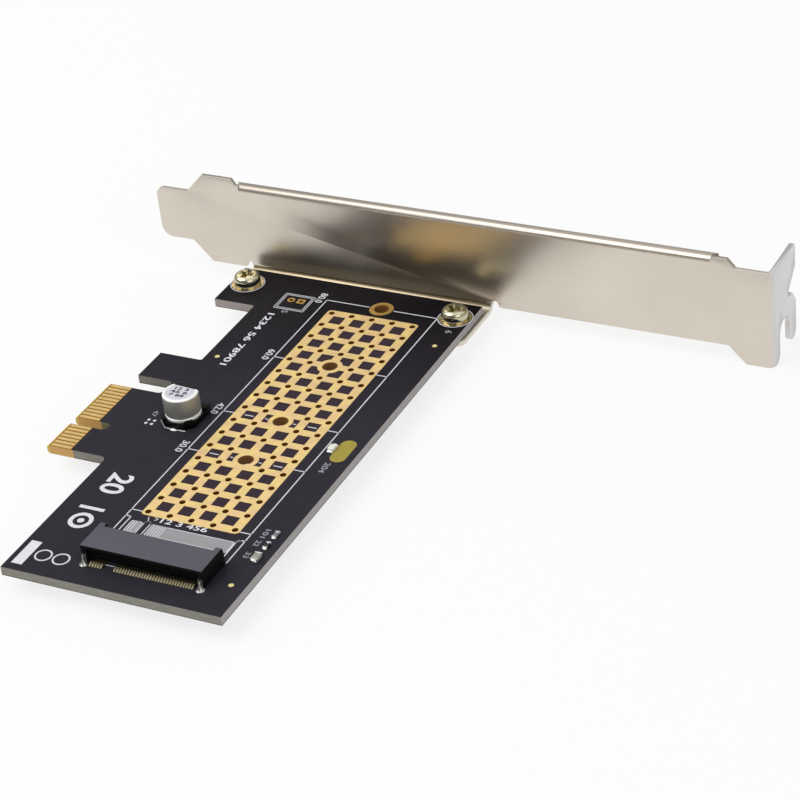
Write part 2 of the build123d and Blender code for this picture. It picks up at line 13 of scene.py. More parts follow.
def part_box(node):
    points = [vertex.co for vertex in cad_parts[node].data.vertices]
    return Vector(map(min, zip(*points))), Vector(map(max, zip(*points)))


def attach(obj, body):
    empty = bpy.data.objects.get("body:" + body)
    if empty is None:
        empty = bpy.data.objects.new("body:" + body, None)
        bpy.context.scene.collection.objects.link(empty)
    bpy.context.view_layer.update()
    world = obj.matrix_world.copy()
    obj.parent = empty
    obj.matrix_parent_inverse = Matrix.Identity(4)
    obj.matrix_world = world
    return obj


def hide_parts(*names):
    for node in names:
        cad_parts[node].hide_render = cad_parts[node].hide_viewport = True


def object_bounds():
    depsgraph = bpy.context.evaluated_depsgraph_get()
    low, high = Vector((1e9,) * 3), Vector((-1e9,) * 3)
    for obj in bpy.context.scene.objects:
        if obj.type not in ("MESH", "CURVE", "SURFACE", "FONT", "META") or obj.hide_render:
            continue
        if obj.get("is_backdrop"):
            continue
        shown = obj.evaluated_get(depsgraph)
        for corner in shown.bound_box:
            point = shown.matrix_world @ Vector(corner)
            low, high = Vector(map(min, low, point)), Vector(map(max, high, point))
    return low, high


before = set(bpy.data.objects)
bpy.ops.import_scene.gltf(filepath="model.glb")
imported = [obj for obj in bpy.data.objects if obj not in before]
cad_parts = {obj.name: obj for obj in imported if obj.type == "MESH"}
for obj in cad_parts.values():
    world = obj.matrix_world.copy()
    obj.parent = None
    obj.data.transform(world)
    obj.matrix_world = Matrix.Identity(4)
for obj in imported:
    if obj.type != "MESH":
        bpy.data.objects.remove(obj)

LOG = logging.getLogger("adapter_card")
ROOT = "root"
MM = 0.001  # a millimetre in metres

# Points that are nearer than this, in millimetres, are one.
CAD_WELD = 1e-4
SPIN_WELD = 1e-5

# Numbers of a colour mix's two colours and of its result.
MIX_FIRST = 6
MIX_SECOND = 7
MIX_RESULT = 2

# Number of flat sides round a shape, by its size.
TINY_ROUND = 20
SMALL_ROUND = 40
RING_ROUND = 72
LARGE_ROUND = 96

Point = tuple[float, float]
Point3 = tuple[float, float, float]
Line = list[Point] | tuple[Point, ...]
Tree = bpy.types.NodeTree
Socket = bpy.types.NodeSocket


class Slot(Enum):
    """Material slots of the record, by name."""

    BOARD = "board"
    GOLD = "gold"
    BRACKET = "bracket_steel"
    SCREW = "screw_steel"
    SOCKET = "socket_plastic"
    TIN = "tin"
    BASE = "base_plastic"
    CAN = "can_aluminium"
    CHIP = "chip_ceramic"
    RESISTOR = "resistor_ceramic"
    LAMP_CLEAR = "lamp_clear"


class Faces(Enum):
    """Faces that a field of colour lies on: an axis and the limits of how far they point along it."""

    ALL = ("Z", -1.1, 1.1)
    TOP = ("Z", 0.85, 1.1)
    UNDERSIDE = ("Z", -1.1, -0.85)
    STEEP = ("Z", -0.5, 0.5)
    LEANING = ("Z", 0.2, 0.8)
    RIGHT = ("X", 0.6, 1.1)


def linear(code: str) -> tuple[float, float, float, float]:
    """Turn an sRGB hex colour into linear values.

    Args:
        code: Colour as six hex digits after a hash sign.

    Returns:
        Linear red, green and blue with a full alpha.
    """
    parts = [int(code[i : i + 2], 16) / 255 for i in (1, 3, 5)]
    red, green, blue = (c / 12.92 if c <= 0.04045 else ((c + 0.055) / 1.055) ** 2.4 for c in parts)
    return red, green, blue, 1.0


def per_metre(size_mm: float) -> float:
    """Scale of a pattern on object coordinates whose features measure size_mm."""
    return 1 / (size_mm * MM)


def add_node(
    tree: Tree,
    kind: str,
    values: dict | None = None,
    links: dict | None = None,
    **settings: object,
) -> bpy.types.Node:
    """Add one node to a tree.

    Args:
        tree: Node tree that gets the node.
        kind: Blender's name of the node type.
        values: Input name or number to its fixed value, a colour as its hex code.
        links: Input name or number to the output socket that feeds it.
        settings: Properties of the node itself.

    Returns:
        The new node.
    """
    node = tree.nodes.new(kind)
    for name, value in settings.items():
        setattr(node, name, value)
    for key, value in (values or {}).items():
        node.inputs[key].default_value = linear(value) if isinstance(value, str) else value
    for key, socket in (links or {}).items():
        tree.links.new(socket, node.inputs[key])
    return node


@dataclass(frozen=True)
class Finish:
    """A plain surface with fine grain in its height and a little drift in its colour and sheen.

    A grain of 0.06 to 0.12 mm stands for a finer real texture: plating, moulding, ink or rolling
    lines. That is too fine to show in the render, so it is drawn as coarse as it needs to show.
    """

    name: str
    colour: str
    roughness: float
    metallic: float = 0.0
    specular: float = 0.5
    grain_mm: float = 0.1
    grain_height_mm: float = 0.002
    grain_draw: Point3 = (1.0, 1.0, 1.0)
    drift: float = 0.06
    drift_mm: float = 3.0
    sheen_share: float = 0.7
    shade: float = 0.06
    detail: float = 3.0
    middle: Point = (0.3, 0.7)
    coat: float = 0.0

    def material(self) -> bpy.types.Material:
        """Build the material.

        Returns:
            A node material with its shader, colour, sheen and bump.
        """
        material = bpy.data.materials.new(self.name)
        material.use_nodes = True
        tree = material.node_tree
        shader = tree.nodes["Principled BSDF"]
        shader.inputs["Metallic"].default_value = self.metallic
        shader.inputs["Specular IOR Level"].default_value = self.specular
        shader.inputs["Coat Weight"].default_value = self.coat
        place = add_node(tree, "ShaderNodeTexCoord").outputs["Object"]
        tree.links.new(self.colour_of(tree, place), shader.inputs["Base Color"])
        tree.links.new(self.roughness_of(tree, place), shader.inputs["Roughness"])
        depth = {"Strength": 1.0, "Distance": self.grain_height_mm * MM}
        bump = add_node(tree, "ShaderNodeBump", depth, {"Height": self.height_of(tree, place)})
        tree.links.new(bump.outputs["Normal"], shader.inputs["Normal"])
        return material

    def patches(self, tree: Tree, place: Socket, size_mm: float, low: float, high: float) -> Socket:
        """Soft patches that run between two values.

        Args:
            tree: Node tree that gets them.
            place: Coordinates that they are drawn on.
            size_mm: Size of a patch.
            low: Value in the noise's lower middle.
            high: Value in its upper middle.

        Returns:
            Socket of the value.
        """
        scale = {"Scale": per_metre(size_mm), "Detail": self.detail}
        noise = add_node(tree, "ShaderNodeTexNoise", scale, {"Vector": place}).outputs["Fac"]
        start, end = self.middle
        ends = {"From Min": start, "From Max": end, "To Min": low, "To Max": high}
        return add_node(tree, "ShaderNodeMapRange", ends, {"Value": noise}).outputs["Result"]

    def colour_of(self, tree: Tree, place: Socket) -> Socket:
        """Colour: the plain one, a shade lighter and darker in soft patches.

        Args:
            tree: Node tree that gets the colour.
            place: Object coordinates.

        Returns:
            Socket of the colour.
        """
        patches = self.patches(tree, place, self.drift_mm, 1 - self.shade, 1 + self.shade)
        values = {"Color": self.colour}
        return add_node(tree, "ShaderNodeHueSaturation", values, {"Value": patches}).outputs["Color"]

    def roughness_of(self, tree: Tree, place: Socket) -> Socket:
        """Roughness: the finish's own value, with a soft drift about it.

        Args:
            tree: Node tree that gets the roughness.
            place: Object coordinates.

        Returns:
            Socket of the roughness.
        """
        low, high = self.roughness - self.drift, self.roughness + self.drift
        return self.patches(tree, place, self.drift_mm * self.sheen_share, low, high)

    def height_of(self, tree: Tree, place: Socket) -> Socket:
        """Height for the bump: fine grain, even or drawn out along one axis.

        Args:
            tree: Node tree that gets the height.
            place: Object coordinates.

        Returns:
            Socket of the height.
        """
        squeeze = {"Scale": self.grain_draw}
        drawn = add_node(tree, "ShaderNodeMapping", squeeze, {"Vector": place}).outputs["Vector"]
        scale = {"Scale": per_metre(self.grain_mm), "Detail": self.detail}
        return add_node(tree, "ShaderNodeTexNoise", scale, {"Vector": drawn}).outputs["Fac"]


@dataclass(frozen=True)
class MottledGold(Finish):
    """Gold plating in soft patches of two near colours."""

    second: str = "#efcd9d"
    patch_mm: float = 2.2

    def colour_of(self, tree: Tree, place: Socket) -> Socket:
        """Colour: the two colours, mixed by a soft noise.

        Args:
            tree: Node tree that gets the colour.
            place: Object coordinates.

        Returns:
            Socket of the colour.
        """
        share = {"Factor": self.patches(tree, place, self.patch_mm, 0.0, 1.0)}
        colours = {MIX_FIRST: self.colour, MIX_SECOND: self.second}
        return add_node(tree, "ShaderNodeMix", colours, share, data_type="RGBA").outputs[MIX_RESULT]


ANYWHERE: Point = (-1000.0, 1000.0)


@dataclass(frozen=True)
class Field:
    """A field of another colour inside a box of the piece, in millimetres."""

    colour: str
    x: Point = ANYWHERE
    y: Point = ANYWHERE
    z: Point = ANYWHERE
    faces: Faces = Faces.ALL


@dataclass(frozen=True)
class PaintedFinish(Finish):
    """A finish with fields of other colours on parts of the piece."""

    fields: tuple[Field, ...] = ()

    def mask_of(self, tree: Tree, place: Socket, field: Field) -> Socket:
        """Mask of one field.

        Args:
            tree: Node tree that gets the mask.
            place: Object coordinates.
            field: Field that the mask is for.

        Returns:
            Socket that is 1 on the field's faces inside its box and 0 elsewhere.
        """
        normal = add_node(tree, "ShaderNodeNewGeometry").outputs["Normal"]
        facing = add_node(tree, "ShaderNodeSeparateXYZ", None, {"Vector": normal}).outputs
        spots = add_node(tree, "ShaderNodeSeparateXYZ", None, {"Vector": place}).outputs
        way, least, most = field.faces.value
        limits = [(facing[way], least, most)]
        for axis, ends in (("X", field.x), ("Y", field.y), ("Z", field.z)):
            if ends != ANYWHERE:
                limits.append((spots[axis], ends[0] * MM, ends[1] * MM))
        mask = None
        for socket, low, high in limits:
            band = {1: (low + high) / 2, 2: (high - low) / 2}
            inside = add_node(tree, "ShaderNodeMath", band, {0: socket}, operation="COMPARE")
            if mask is None:
                mask = inside.outputs["Value"]
                continue
            pair = {0: mask, 1: inside.outputs["Value"]}
            mask = add_node(tree, "ShaderNodeMath", None, pair, operation="MULTIPLY").outputs["Value"]
        return mask

    def ground_of(self, tree: Tree, place: Socket) -> Socket:
        """Colour under the fields."""
        return super().colour_of(tree, place)

    def colour_of(self, tree: Tree, place: Socket) -> Socket:
        """Colour: the ground, with each field laid over it in turn.

        Args:
            tree: Node tree that gets the colour.
            place: Object coordinates.

        Returns:
            Socket of the colour.
        """
        colour = self.ground_of(tree, place)
        for field in self.fields:
            links = {"Factor": self.mask_of(tree, place, field), MIX_FIRST: colour}
            over = {MIX_SECOND: field.colour}
            mix = add_node(tree, "ShaderNodeMix", over, links, data_type="RGBA")
            colour = mix.outputs[MIX_RESULT]
        return colour


@dataclass(frozen=True)
class BoardFinish(PaintedFinish):
    """Glass laminate under black solder mask, bare at its cut edges."""

    edge: str = "#8f8d84"
    edge_dark: str = "#7f7d74"
    # Painted shade: the mask is mixed towards this darker colour over the far run of y.
    thick: str = "#100c11"
    painted_far_shade_y: Point = (45.0, 84.0)
    layer_mm: float = 0.2
    layer_draw: Point3 = (0.15, 0.15, 1.0)

    def ground_of(self, tree: Tree, place: Socket) -> Socket:
        """Colour: mask on the faces with painted shade to the far end, and glass layers at cut edges.

        Args:
            tree: Node tree that gets the colour.
            place: Object coordinates.

        Returns:
            Socket of the colour.
        """
        squeeze = {"Scale": self.layer_draw}
        layers = add_node(tree, "ShaderNodeMapping", squeeze, {"Vector": place}).outputs["Vector"]
        weave = {"Factor": self.patches(tree, layers, self.layer_mm, 0.0, 1.0)}
        glass = {MIX_FIRST: self.edge_dark, MIX_SECOND: self.edge}
        laminate = add_node(tree, "ShaderNodeMix", glass, weave, data_type="RGBA")
        along = add_node(tree, "ShaderNodeSeparateXYZ", None, {"Vector": place}).outputs["Y"]
        run = {"From Min": self.painted_far_shade_y[0] * MM, "From Max": self.painted_far_shade_y[1] * MM}
        far = add_node(tree, "ShaderNodeMapRange", run, {"Value": along}).outputs["Result"]
        # Painted shade: the mask is mixed towards a darker colour towards the far end.
        thin = {"Factor": far, MIX_FIRST: super().ground_of(tree, place)}
        mask = add_node(tree, "ShaderNodeMix", {MIX_SECOND: self.thick}, thin, data_type="RGBA")
        steep = self.mask_of(tree, place, Field(self.edge, faces=Faces.STEEP))
        links = {
            "Factor": steep,
            MIX_FIRST: mask.outputs[MIX_RESULT],
            MIX_SECOND: laminate.outputs[MIX_RESULT],
        }
        return add_node(tree, "ShaderNodeMix", None, links, data_type="RGBA").outputs[MIX_RESULT]


# Black solder mask, screen coated on glass laminate: near black with a soft sheen, warmer in the
# pad's windows, and painted darker towards the far end as painted shade. The cut edges are bare
# laminate: grey, darker along their bottom, brown in the drilled holes and between the edge
# contacts, and painted lighter where they face right as painted light.
MASK = BoardFinish(
    "black_solder_mask",
    "#2f2d34",
    0.4,
    specular=0.04,
    grain_mm=0.35,
    grain_height_mm=0.004,
    fields=(
        # Painted light: cut edges that face right are painted lighter.
        Field("#a5a2a0", faces=Faces.RIGHT),
        Field("#392e36", x=(-9.0, 9.0), y=(11.1, 77.1), faces=Faces.TOP),
        Field("#a09894", x=(-36.0, -19.0), y=(60.0, 80.0), faces=Faces.STEEP),
        Field("#4a4741", z=(-1.7, -1.46), faces=Faces.STEEP),
        Field("#8f6228", x=(-36.0, -30.0), y=(23.0, 44.0), faces=Faces.TOP),
        Field("#8f6228", x=(-36.0, -30.0), y=(23.0, 44.0), faces=Faces.UNDERSIDE),
        Field("#c9a062", x=(-36.0, -29.6), y=(22.0, 45.0), faces=Faces.STEEP),
        Field("#cdb356", x=(-36.0, -34.31), y=(22.0, 45.0)),
        Field("#7b775c", x=(-29.6, -27.0), y=(30.0, 33.0), faces=Faces.STEEP),
        Field("#7a4c14", x=(-9.5, 9.5), y=(10.0, 82.5), faces=Faces.STEEP),
        Field("#7a4c14", x=(-18.6, -14.0), y=(77.0, 79.3), faces=Faces.STEEP),
    ),
)
# Immersion gold over nickel on copper: satin, pale yellow, with soft pinkish patches.
GOLD = MottledGold("immersion_gold", "#f7df94", 0.5, 1.0, grain_mm=0.12)
# Hard gold on the edge contacts: a little darker and smoother than the pad.
HARD_GOLD = Finish("hard_gold", "#f0cf88", 0.36, 1.0, grain_mm=0.12)
# Gold pressed by the screw heads: uneven, so that it shows light and dark patches.
RING_GOLD = Finish("pressed_gold_ring", "#cdb98a", 0.2, 1.0, grain_mm=1.1, grain_height_mm=0.12)
# Gold round the end hole and on the header's pads: darker and browner than the pad.
END_GOLD = Finish("darker_gold_ring", "#bd9c58", 0.45, 1.0, grain_mm=0.12)
# Thin gold flash on the small round marks: paler than the pad.
FLASH = Finish("gold_flash", "#efe4a4", 0.45, 1.0, grain_height_mm=0.001)
# Copper barrel of a drilled hole: dull brown.
BARREL = Finish("plated_copper_barrel", "#784c13", 0.6, grain_mm=0.2, grain_height_mm=0.006)
# Rolled steel sheet with satin nickel plating: warm grey with faint rolling lines along its
# length. The fold under the board is painted darker and beige as painted reflection, the upper
# fold is painted darker as painted shade, and the tab is painted whiter as painted reflection.
NICKEL = PaintedFinish(
    "nickel_plated_sheet",
    "#d6cec1",
    0.31,
    1.0,
    grain_mm=0.12,
    grain_height_mm=0.0012,
    grain_draw=(0.025, 1.0, 1.0),
    drift=0.03,
    drift_mm=18.0,
    fields=(
        # Painted reflection: the inner fold under the board is painted darker and beige.
        Field("#a5967c", y=(84.0, 90.0), z=(-5.0, -0.2), faces=Faces.LEANING),
        # Painted shade: the upper fold and the top edge are painted darker.
        Field("#b8aea2", x=(-60.0, 68.8), y=(88.85, 120.0), z=(14.0, 20.0)),
        # Painted reflection: the tab is painted whiter and greyer.
        Field("#d2d0cf", x=(69.0, 90.0), y=(89.0, 120.0)),
    ),
)
# Bright nickel-plated screw: silver with a yellow cast and hard reflections.
SCREW_NICKEL = Finish("warm_nickel_screw", "#c3bda2", 0.1, 1.0, grain_height_mm=0.001, drift=0.04)
# Glass-filled nylon, moulded: dull and black, its roof painted grey as painted light from above.
SOCKET = PaintedFinish(
    "glass_filled_nylon",
    "#0c0c0e",
    0.6,
    specular=0.12,
    grain_mm=0.12,
    grain_height_mm=0.003,
    # Painted light: upward faces of the roof are painted grey.
    fields=(Field("#5a5961", z=(2.0, 4.0), faces=Faces.TOP),),
)
# Gold-flashed phosphor bronze, stamped: olive gold, painted darker as painted shade inside the housing.
CONTACT = Finish("gold_flashed_bronze", "#6f6648", 0.35, 1.0, grain_height_mm=0.001)
# Solder drawn up the small tails: dull dark olive.
TAIL_SOLDER = Finish("dark_olive_solder", "#6b6550", 0.45, 1.0, grain_mm=0.2, grain_height_mm=0.006)
# Solder and tinned sheet of the hold-downs: grey, less bright than fresh solder.
DULL_TIN = Finish("dull_solder", "#bcbcb6", 0.34, 1.0, grain_mm=0.25, grain_height_mm=0.006)
# Bright solder, reflowed: near white and glossy.
TIN = Finish("bright_solder", "#e6e6e2", 0.26, 1.0, grain_mm=0.25, grain_height_mm=0.006)
# Black phenolic moulding: matt and very dark.
BASE = Finish("black_phenolic", "#060607", 0.45, specular=0.12)
# Drawn aluminium can: satin grey with faint upright lines, and a painted highlight in a brighter band
# over the crimp.
CAN = PaintedFinish(
    "drawn_aluminium",
    "#b0b1ac",
    0.48,
    0.7,
    grain_height_mm=0.0015,
    grain_draw=(1.0, 1.0, 0.04),
    drift=0.04,
    # Painted highlight: a brighter band over the crimp.
    fields=(Field("#ececea", z=(0.8, 1.55)),),
)
# White lacquer over the can's rolled rim: bright and even.
CAN_RIM = Finish("white_rim_lacquer", "#fafafa", 0.4, specular=0.4, grain_height_mm=0.001)
# Pale lacquer inside the rim: slightly cool.
CAN_TOP = Finish("pale_top_lacquer", "#d5d2dc", 0.42, specular=0.3, grain_height_mm=0.001)
# Printed ink on the can: flat black.
CAN_MARK = Finish("black_can_print", "#151317", 0.5, specular=0.2, grain_height_mm=0.001)
# Epoxy legend ink, screen printed: matt off-white, in four depths of print.
INK, BOLD_INK, BLOCK_INK, THIN_INK = (
    Finish(name, colour, 0.6, specular=0.2, grain_mm=0.08, grain_height_mm=0.003)
    for name, colour in (
        ("white_legend_ink", "#d6d6dc"),
        ("thick_legend_ink", "#e2dfe6"),
        ("grey_legend_ink", "#9d9d9f"),
        ("thin_legend_ink", "#93919b"),
    )
)
# Barium titanate ceramic, fired: grey on the small chip, olive grey on the large one.
CHIP = Finish("grey_chip_ceramic", "#77777b", 0.5, grain_mm=0.06)
LARGE_CHIP = Finish("olive_chip_ceramic", "#9b9d8d", 0.5, grain_mm=0.06)
# Black glass overcoat of a thick-film resistor: dark and glossy.
RESISTOR = Finish("black_glass_coat", "#141416", 0.3, grain_height_mm=0.001)
# White filled epoxy of the lamp's base: even and bright.
LAMP_WHITE = Finish("white_lamp_base", "#e4e4dc", 0.4, grain_height_mm=0.001)
# Clear resin over the lamp: pale and glossy.
LAMP_CLEAR = Finish("clear_lamp_resin", "#e6e8d6", 0.15, grain_height_mm=0.001, coat=0.5)
# Bare laminate without copper or mask: blotchy olive.
BARE = Finish("bare_laminate_window", "#a09238", 0.42, specular=0.3, grain_mm=0.3, drift_mm=1.2)


class Shape:
    """A bmesh in millimetres that ends as a mesh in metres."""

    def __init__(self) -> None:
        """Start empty."""
        self.bm = bmesh.new()

    def box(self, low: Point3, high: Point3) -> None:
        """Add a box.

        Args:
            low: Its lowest corner.
            high: Its highest corner.
        """
        middle = Matrix.Translation([(a + b) / 2 for a, b in zip(low, high)])
        size = Matrix.Diagonal([b - a for a, b in zip(low, high)] + [1.0])
        bmesh.ops.create_cube(self.bm, size=1.0, matrix=middle @ size)

    def post(self, centre: Point, radius: float, low: float, high: float, steps: int) -> None:
        """Add an upright round post.

        Args:
            centre: Place of its axis.
            radius: Its radius.
            low: Height of its foot.
            high: Height of its top.
            steps: Number of flat sides round it.
        """
        bmesh.ops.create_cone(
            self.bm,
            cap_ends=True,
            segments=steps,
            radius1=radius,
            radius2=radius,
            depth=high - low,
            matrix=Matrix.Translation((*centre, (low + high) / 2)),
        )

    def lathe(self, profile: Line, centre: Point, steps: int = LARGE_ROUND) -> None:
        """Spin a profile round an upright axis.

        Args:
            profile: Radius and height of each point, from the bottom's axis to the top's.
            centre: Place of the axis.
            steps: Number of steps round it.
        """
        turned = Shape()
        points = [turned.bm.verts.new((radius, 0, height)) for radius, height in profile]
        edges = [turned.bm.edges.new(pair) for pair in zip(points, points[1:])]
        bmesh.ops.spin(
            turned.bm,
            geom=points + edges,
            cent=(0, 0, 0),
            axis=(0, 0, 1),
            angle=math.tau,
            steps=steps,
            use_merge=True,
        )
        bmesh.ops.remove_doubles(turned.bm, verts=turned.bm.verts, dist=SPIN_WELD)
        bmesh.ops.recalc_face_normals(turned.bm, faces=turned.bm.faces)
        bmesh.ops.translate(turned.bm, verts=turned.bm.verts, vec=(*centre, 0))
        self.join(turned)

    def ring(self, centre: Point, inner: float, outer: float, low: float, high: float) -> None:
        """Add a flat ring.

        Args:
            centre: Place of its axis.
            inner: Inner radius.
            outer: Outer radius.
            low: Height of its underside.
            high: Height of its upper side.
        """
        profile = [(inner, low), (outer, low), (outer, high), (inner, high), (inner, low)]
        self.lathe(profile, centre, RING_ROUND)

    def stroke(self, points: Line, width: float, high: float) -> None:
        """Add a line of even width that follows flat points on the board's top.

        Args:
            points: Corners of the line.
            width: Its width.
            high: Height of its upper side.
        """
        for start, end in zip(points, points[1:]):
            run = Vector(end) - Vector(start)
            turn = Matrix.Rotation(math.atan2(run.y, run.x), 4, "Z")
            middle = Matrix.Translation((*(Vector(start) + run / 2), high / 2))
            size = Matrix.Diagonal((run.length + width, width, high, 1.0))
            bmesh.ops.create_cube(self.bm, size=1.0, matrix=middle @ turn @ size)

    def blob(self, centre: Point3, size: Point3) -> None:
        """Add a rounded lump of solder of the stated width, length and height."""
        scale = Matrix.Translation(centre) @ Matrix.Diagonal([side / 2 for side in size] + [1.0])
        bmesh.ops.create_icosphere(self.bm, subdivisions=3, radius=1.0, matrix=scale)

    def join(self, other: "Shape") -> None:
        """Take in another shape, which is used up.

        Args:
            other: Shape that is taken in.
        """
        mesh = bpy.data.meshes.new("joined")
        other.bm.to_mesh(mesh)
        other.bm.free()
        self.bm.from_mesh(mesh)
        bpy.data.meshes.remove(mesh)

    def bevel(self, width: float, segments: int = 2, sharp: float = 40.0) -> None:
        """Round every edge that turns by more than sharp degrees.

        Args:
            width: Width of the rounding.
            segments: Number of faces across it.
            sharp: Least angle between two faces, in degrees.
        """
        limit = math.radians(sharp)
        edges = [e for e in self.bm.edges if e.is_manifold and e.calc_face_angle(0) > limit]
        bmesh.ops.bevel(
            self.bm,
            geom=edges,
            offset=width,
            offset_type="OFFSET",
            affect="EDGES",
            segments=segments,
            profile=0.5,
            material=-1,
            clamp_overlap=True,
        )

    def mesh(self, name: str, smooth: float | None) -> bpy.types.Mesh:
        """Turn the shape into a mesh in metres.

        Args:
            name: Name of the mesh.
            smooth: Edges that turn by less than this many degrees are shaded smooth. None leaves
                the shading as it is.

        Returns:
            The mesh. The shape is used up.
        """
        bmesh.ops.scale(self.bm, vec=(MM, MM, MM), verts=self.bm.verts)
        if smooth is not None:
            for face in self.bm.faces:
                face.smooth = True
            for edge in self.bm.edges:
                edge.smooth = edge.is_manifold and edge.calc_face_angle(0) < math.radians(smooth)
        mesh = bpy.data.meshes.new(name)
        self.bm.to_mesh(mesh)
        self.bm.free()
        return mesh


def node_shape(node: str) -> Shape:
    """Copy of a CAD node's mesh as a shape, its triangles merged into whole faces.

    Args:
        node: Name of the node.

    Returns:
        The shape, in millimetres.
    """
    shape = Shape()
    shape.bm.from_mesh(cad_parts[node].data)
    bmesh.ops.scale(shape.bm, vec=(1 / MM, 1 / MM, 1 / MM), verts=shape.bm.verts)
    bmesh.ops.remove_doubles(shape.bm, verts=shape.bm.verts, dist=CAD_WELD)
    flat = math.radians(0.5)
    bmesh.ops.dissolve_limit(
        shape.bm, angle_limit=flat, verts=shape.bm.verts, edges=shape.bm.edges
    )
    return shape


def node_box(node: str) -> tuple[Vector, Vector]:
    """Lowest and highest corner of a CAD node, in millimetres."""
    low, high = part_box(node)
    return Vector(low) / MM, Vector(high) / MM


def cut(shape: Shape, cutter: Shape) -> Shape:
    """Cut one shape out of another.

    Args:
        shape: Shape that is cut.
        cutter: Shape that is taken away.

    Returns:
        What is left, in millimetres.
    """
    bodies = []
    for part in (shape, cutter):
        mesh = bpy.data.meshes.new("cut")
        part.bm.to_mesh(mesh)
        part.bm.free()
        body = bpy.data.objects.new("cut", mesh)
        bpy.context.scene.collection.objects.link(body)
        bodies.append(body)
    modifier = bodies[0].modifiers.new("cut", "BOOLEAN")
    modifier.operation = "DIFFERENCE"
    modifier.solver = "EXACT"
    modifier.object = bodies[1]
    bpy.context.view_layer.update()
    graph = bpy.context.evaluated_depsgraph_get()
    result = bpy.data.meshes.new_from_object(bodies[0].evaluated_get(graph))
    left = Shape()
    left.bm.from_mesh(result)
    for body in bodies:
        mesh = body.data
        bpy.data.objects.remove(body)
        bpy.data.meshes.remove(mesh)
    bpy.data.meshes.remove(result)
    return left


def quarter(steps: int, start: float = 0.0) -> list[float]:
    """Angles of a quarter turn in equal steps, in radians, from a start given in degrees."""
    first = math.radians(start)
    return [first + (math.pi / 2 - first) * step / steps for step in range(steps + 1)]


class Workshop:
    """Makes each material once and hands finished pieces to the frame."""

    def __init__(self) -> None:
        """Start with no materials made."""
        self.made: dict[str, bpy.types.Material] = {}

    def material(self, finish: Finish) -> bpy.types.Material:
        """Material of a finish, made on first use."""
        if finish.name not in self.made:
            self.made[finish.name] = finish.material()
        return self.made[finish.name]

    def dress(self, finish: Finish, *nodes: str) -> None:
        """Give CAD nodes their finish.

        Args:
            finish: Finish that they get.
            nodes: Names of the nodes.
        """
        for node in nodes:
            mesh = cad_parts[node].data
            mesh.materials.clear()
            mesh.materials.append(self.material(finish))
            LOG.info("dressed %s as %s", node, finish.name)

    def add(
        self,
        name: str,
        shape: Shape,
        finish: Finish,
        slot: Slot,
        *replaced: str,
        smooth: float | None = 30.0,
    ) -> None:
        """Put a finished shape in the scene.

        Args:
            name: Name of the piece.
            shape: Its shape, in place.
            finish: Its finish.
            slot: Record slot that the finish belongs to. Not used.
            replaced: CAD nodes that the piece stands for.
            smooth: Edges that turn by less than this many degrees are shaded smooth. None leaves
                the shading as it is.
        """
        mesh = shape.mesh(name, smooth)
        piece = bpy.data.objects.new(name, mesh)
        bpy.context.scene.collection.objects.link(piece)
        mesh.materials.clear()
        mesh.materials.append(self.material(finish))
        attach(piece, ROOT)
        if replaced:
            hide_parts(*replaced)
        LOG.info("built %s with %d faces", name, len(mesh.polygons))

    def rounded(
        self, name: str, node: str, width: float, finish: Finish, slot: Slot, segments: int = 2
    ) -> None:
        """Put a CAD node's own shape with rounded edges in its place.

        Args:
            name: Name of the piece.
            node: CAD node that it stands for.
            width: Width of the rounding.
            finish: Its finish.
            slot: Record slot that the finish belongs to.
            segments: Number of faces across the rounding.
        """
        shape = node_shape(node)
        shape.bevel(width, segments)
        self.add(name, shape, finish, slot, node)


@dataclass
class Board:
    """The laminate, its gold pads and the small plated holes through both."""

    grid_pitch: float = 4.0
    columns: int = 5
    rows: int = 17
    first_row: float = 12.1
    via_radius: float = 0.55
    overshoot: float = 1.0
    hole_radius: float = 1.375
    barrel_inner: float = 1.26
    barrel_ends: Point = (0.02, 0.01)
    land_radius: float = 2.7
    drive_holes: tuple[float, ...] = (30.0, 42.0, 60.0, 80.0)

    def via_cutter(self) -> Shape:
        """Posts for the small holes, without those that a fixing hole displaces.

        Returns:
            The posts, longer than the board is thick.
        """
        low, _ = node_box("circuit_board")
        foot, head = low.z - self.overshoot, self.overshoot
        cutter = Shape()
        for column in range(self.columns):
            x = (column - (self.columns - 1) / 2) * self.grid_pitch
            for row in range(self.rows):
                y = self.first_row + row * self.grid_pitch
                if all(math.hypot(x, y - hole) > self.land_radius for hole in self.drive_holes):
                    cutter.post((x, y), self.via_radius, foot, head, TINY_ROUND)
        return cutter

    def barrels(self) -> Shape:
        """Plated linings of the fixing holes.

        Returns:
            Four sleeves that end just inside the board's faces.
        """
        low, _ = node_box("circuit_board")
        foot, head = low.z + self.barrel_ends[0], -self.barrel_ends[1]
        shape = Shape()
        for hole in self.drive_holes:
            shape.ring((0.0, hole), self.barrel_inner, self.hole_radius, foot, head)
        return shape

    def build(self, shop: Workshop) -> None:
        """Drill and dress the board and its pads.

        Args:
            shop: Workshop that makes the materials.
        """
        board = cut(node_shape("circuit_board"), self.via_cutter())
        shop.add("drilled_board", board, MASK, Slot.BOARD, "circuit_board")
        pad = cut(node_shape("heat_pad"), self.via_cutter())
        shop.add("drilled_heat_pad", pad, GOLD, Slot.GOLD, "heat_pad")
        shop.add("hole_barrels", self.barrels(), BARREL, Slot.GOLD)
        shop.dress(END_GOLD, "header_pads", "end_hole_ring")
        shop.dress(HARD_GOLD, "edge_contacts_top", "edge_contacts_bottom")
        shop.dress(RING_GOLD, "screw_pads")
        shop.dress(FLASH, "position_marks")


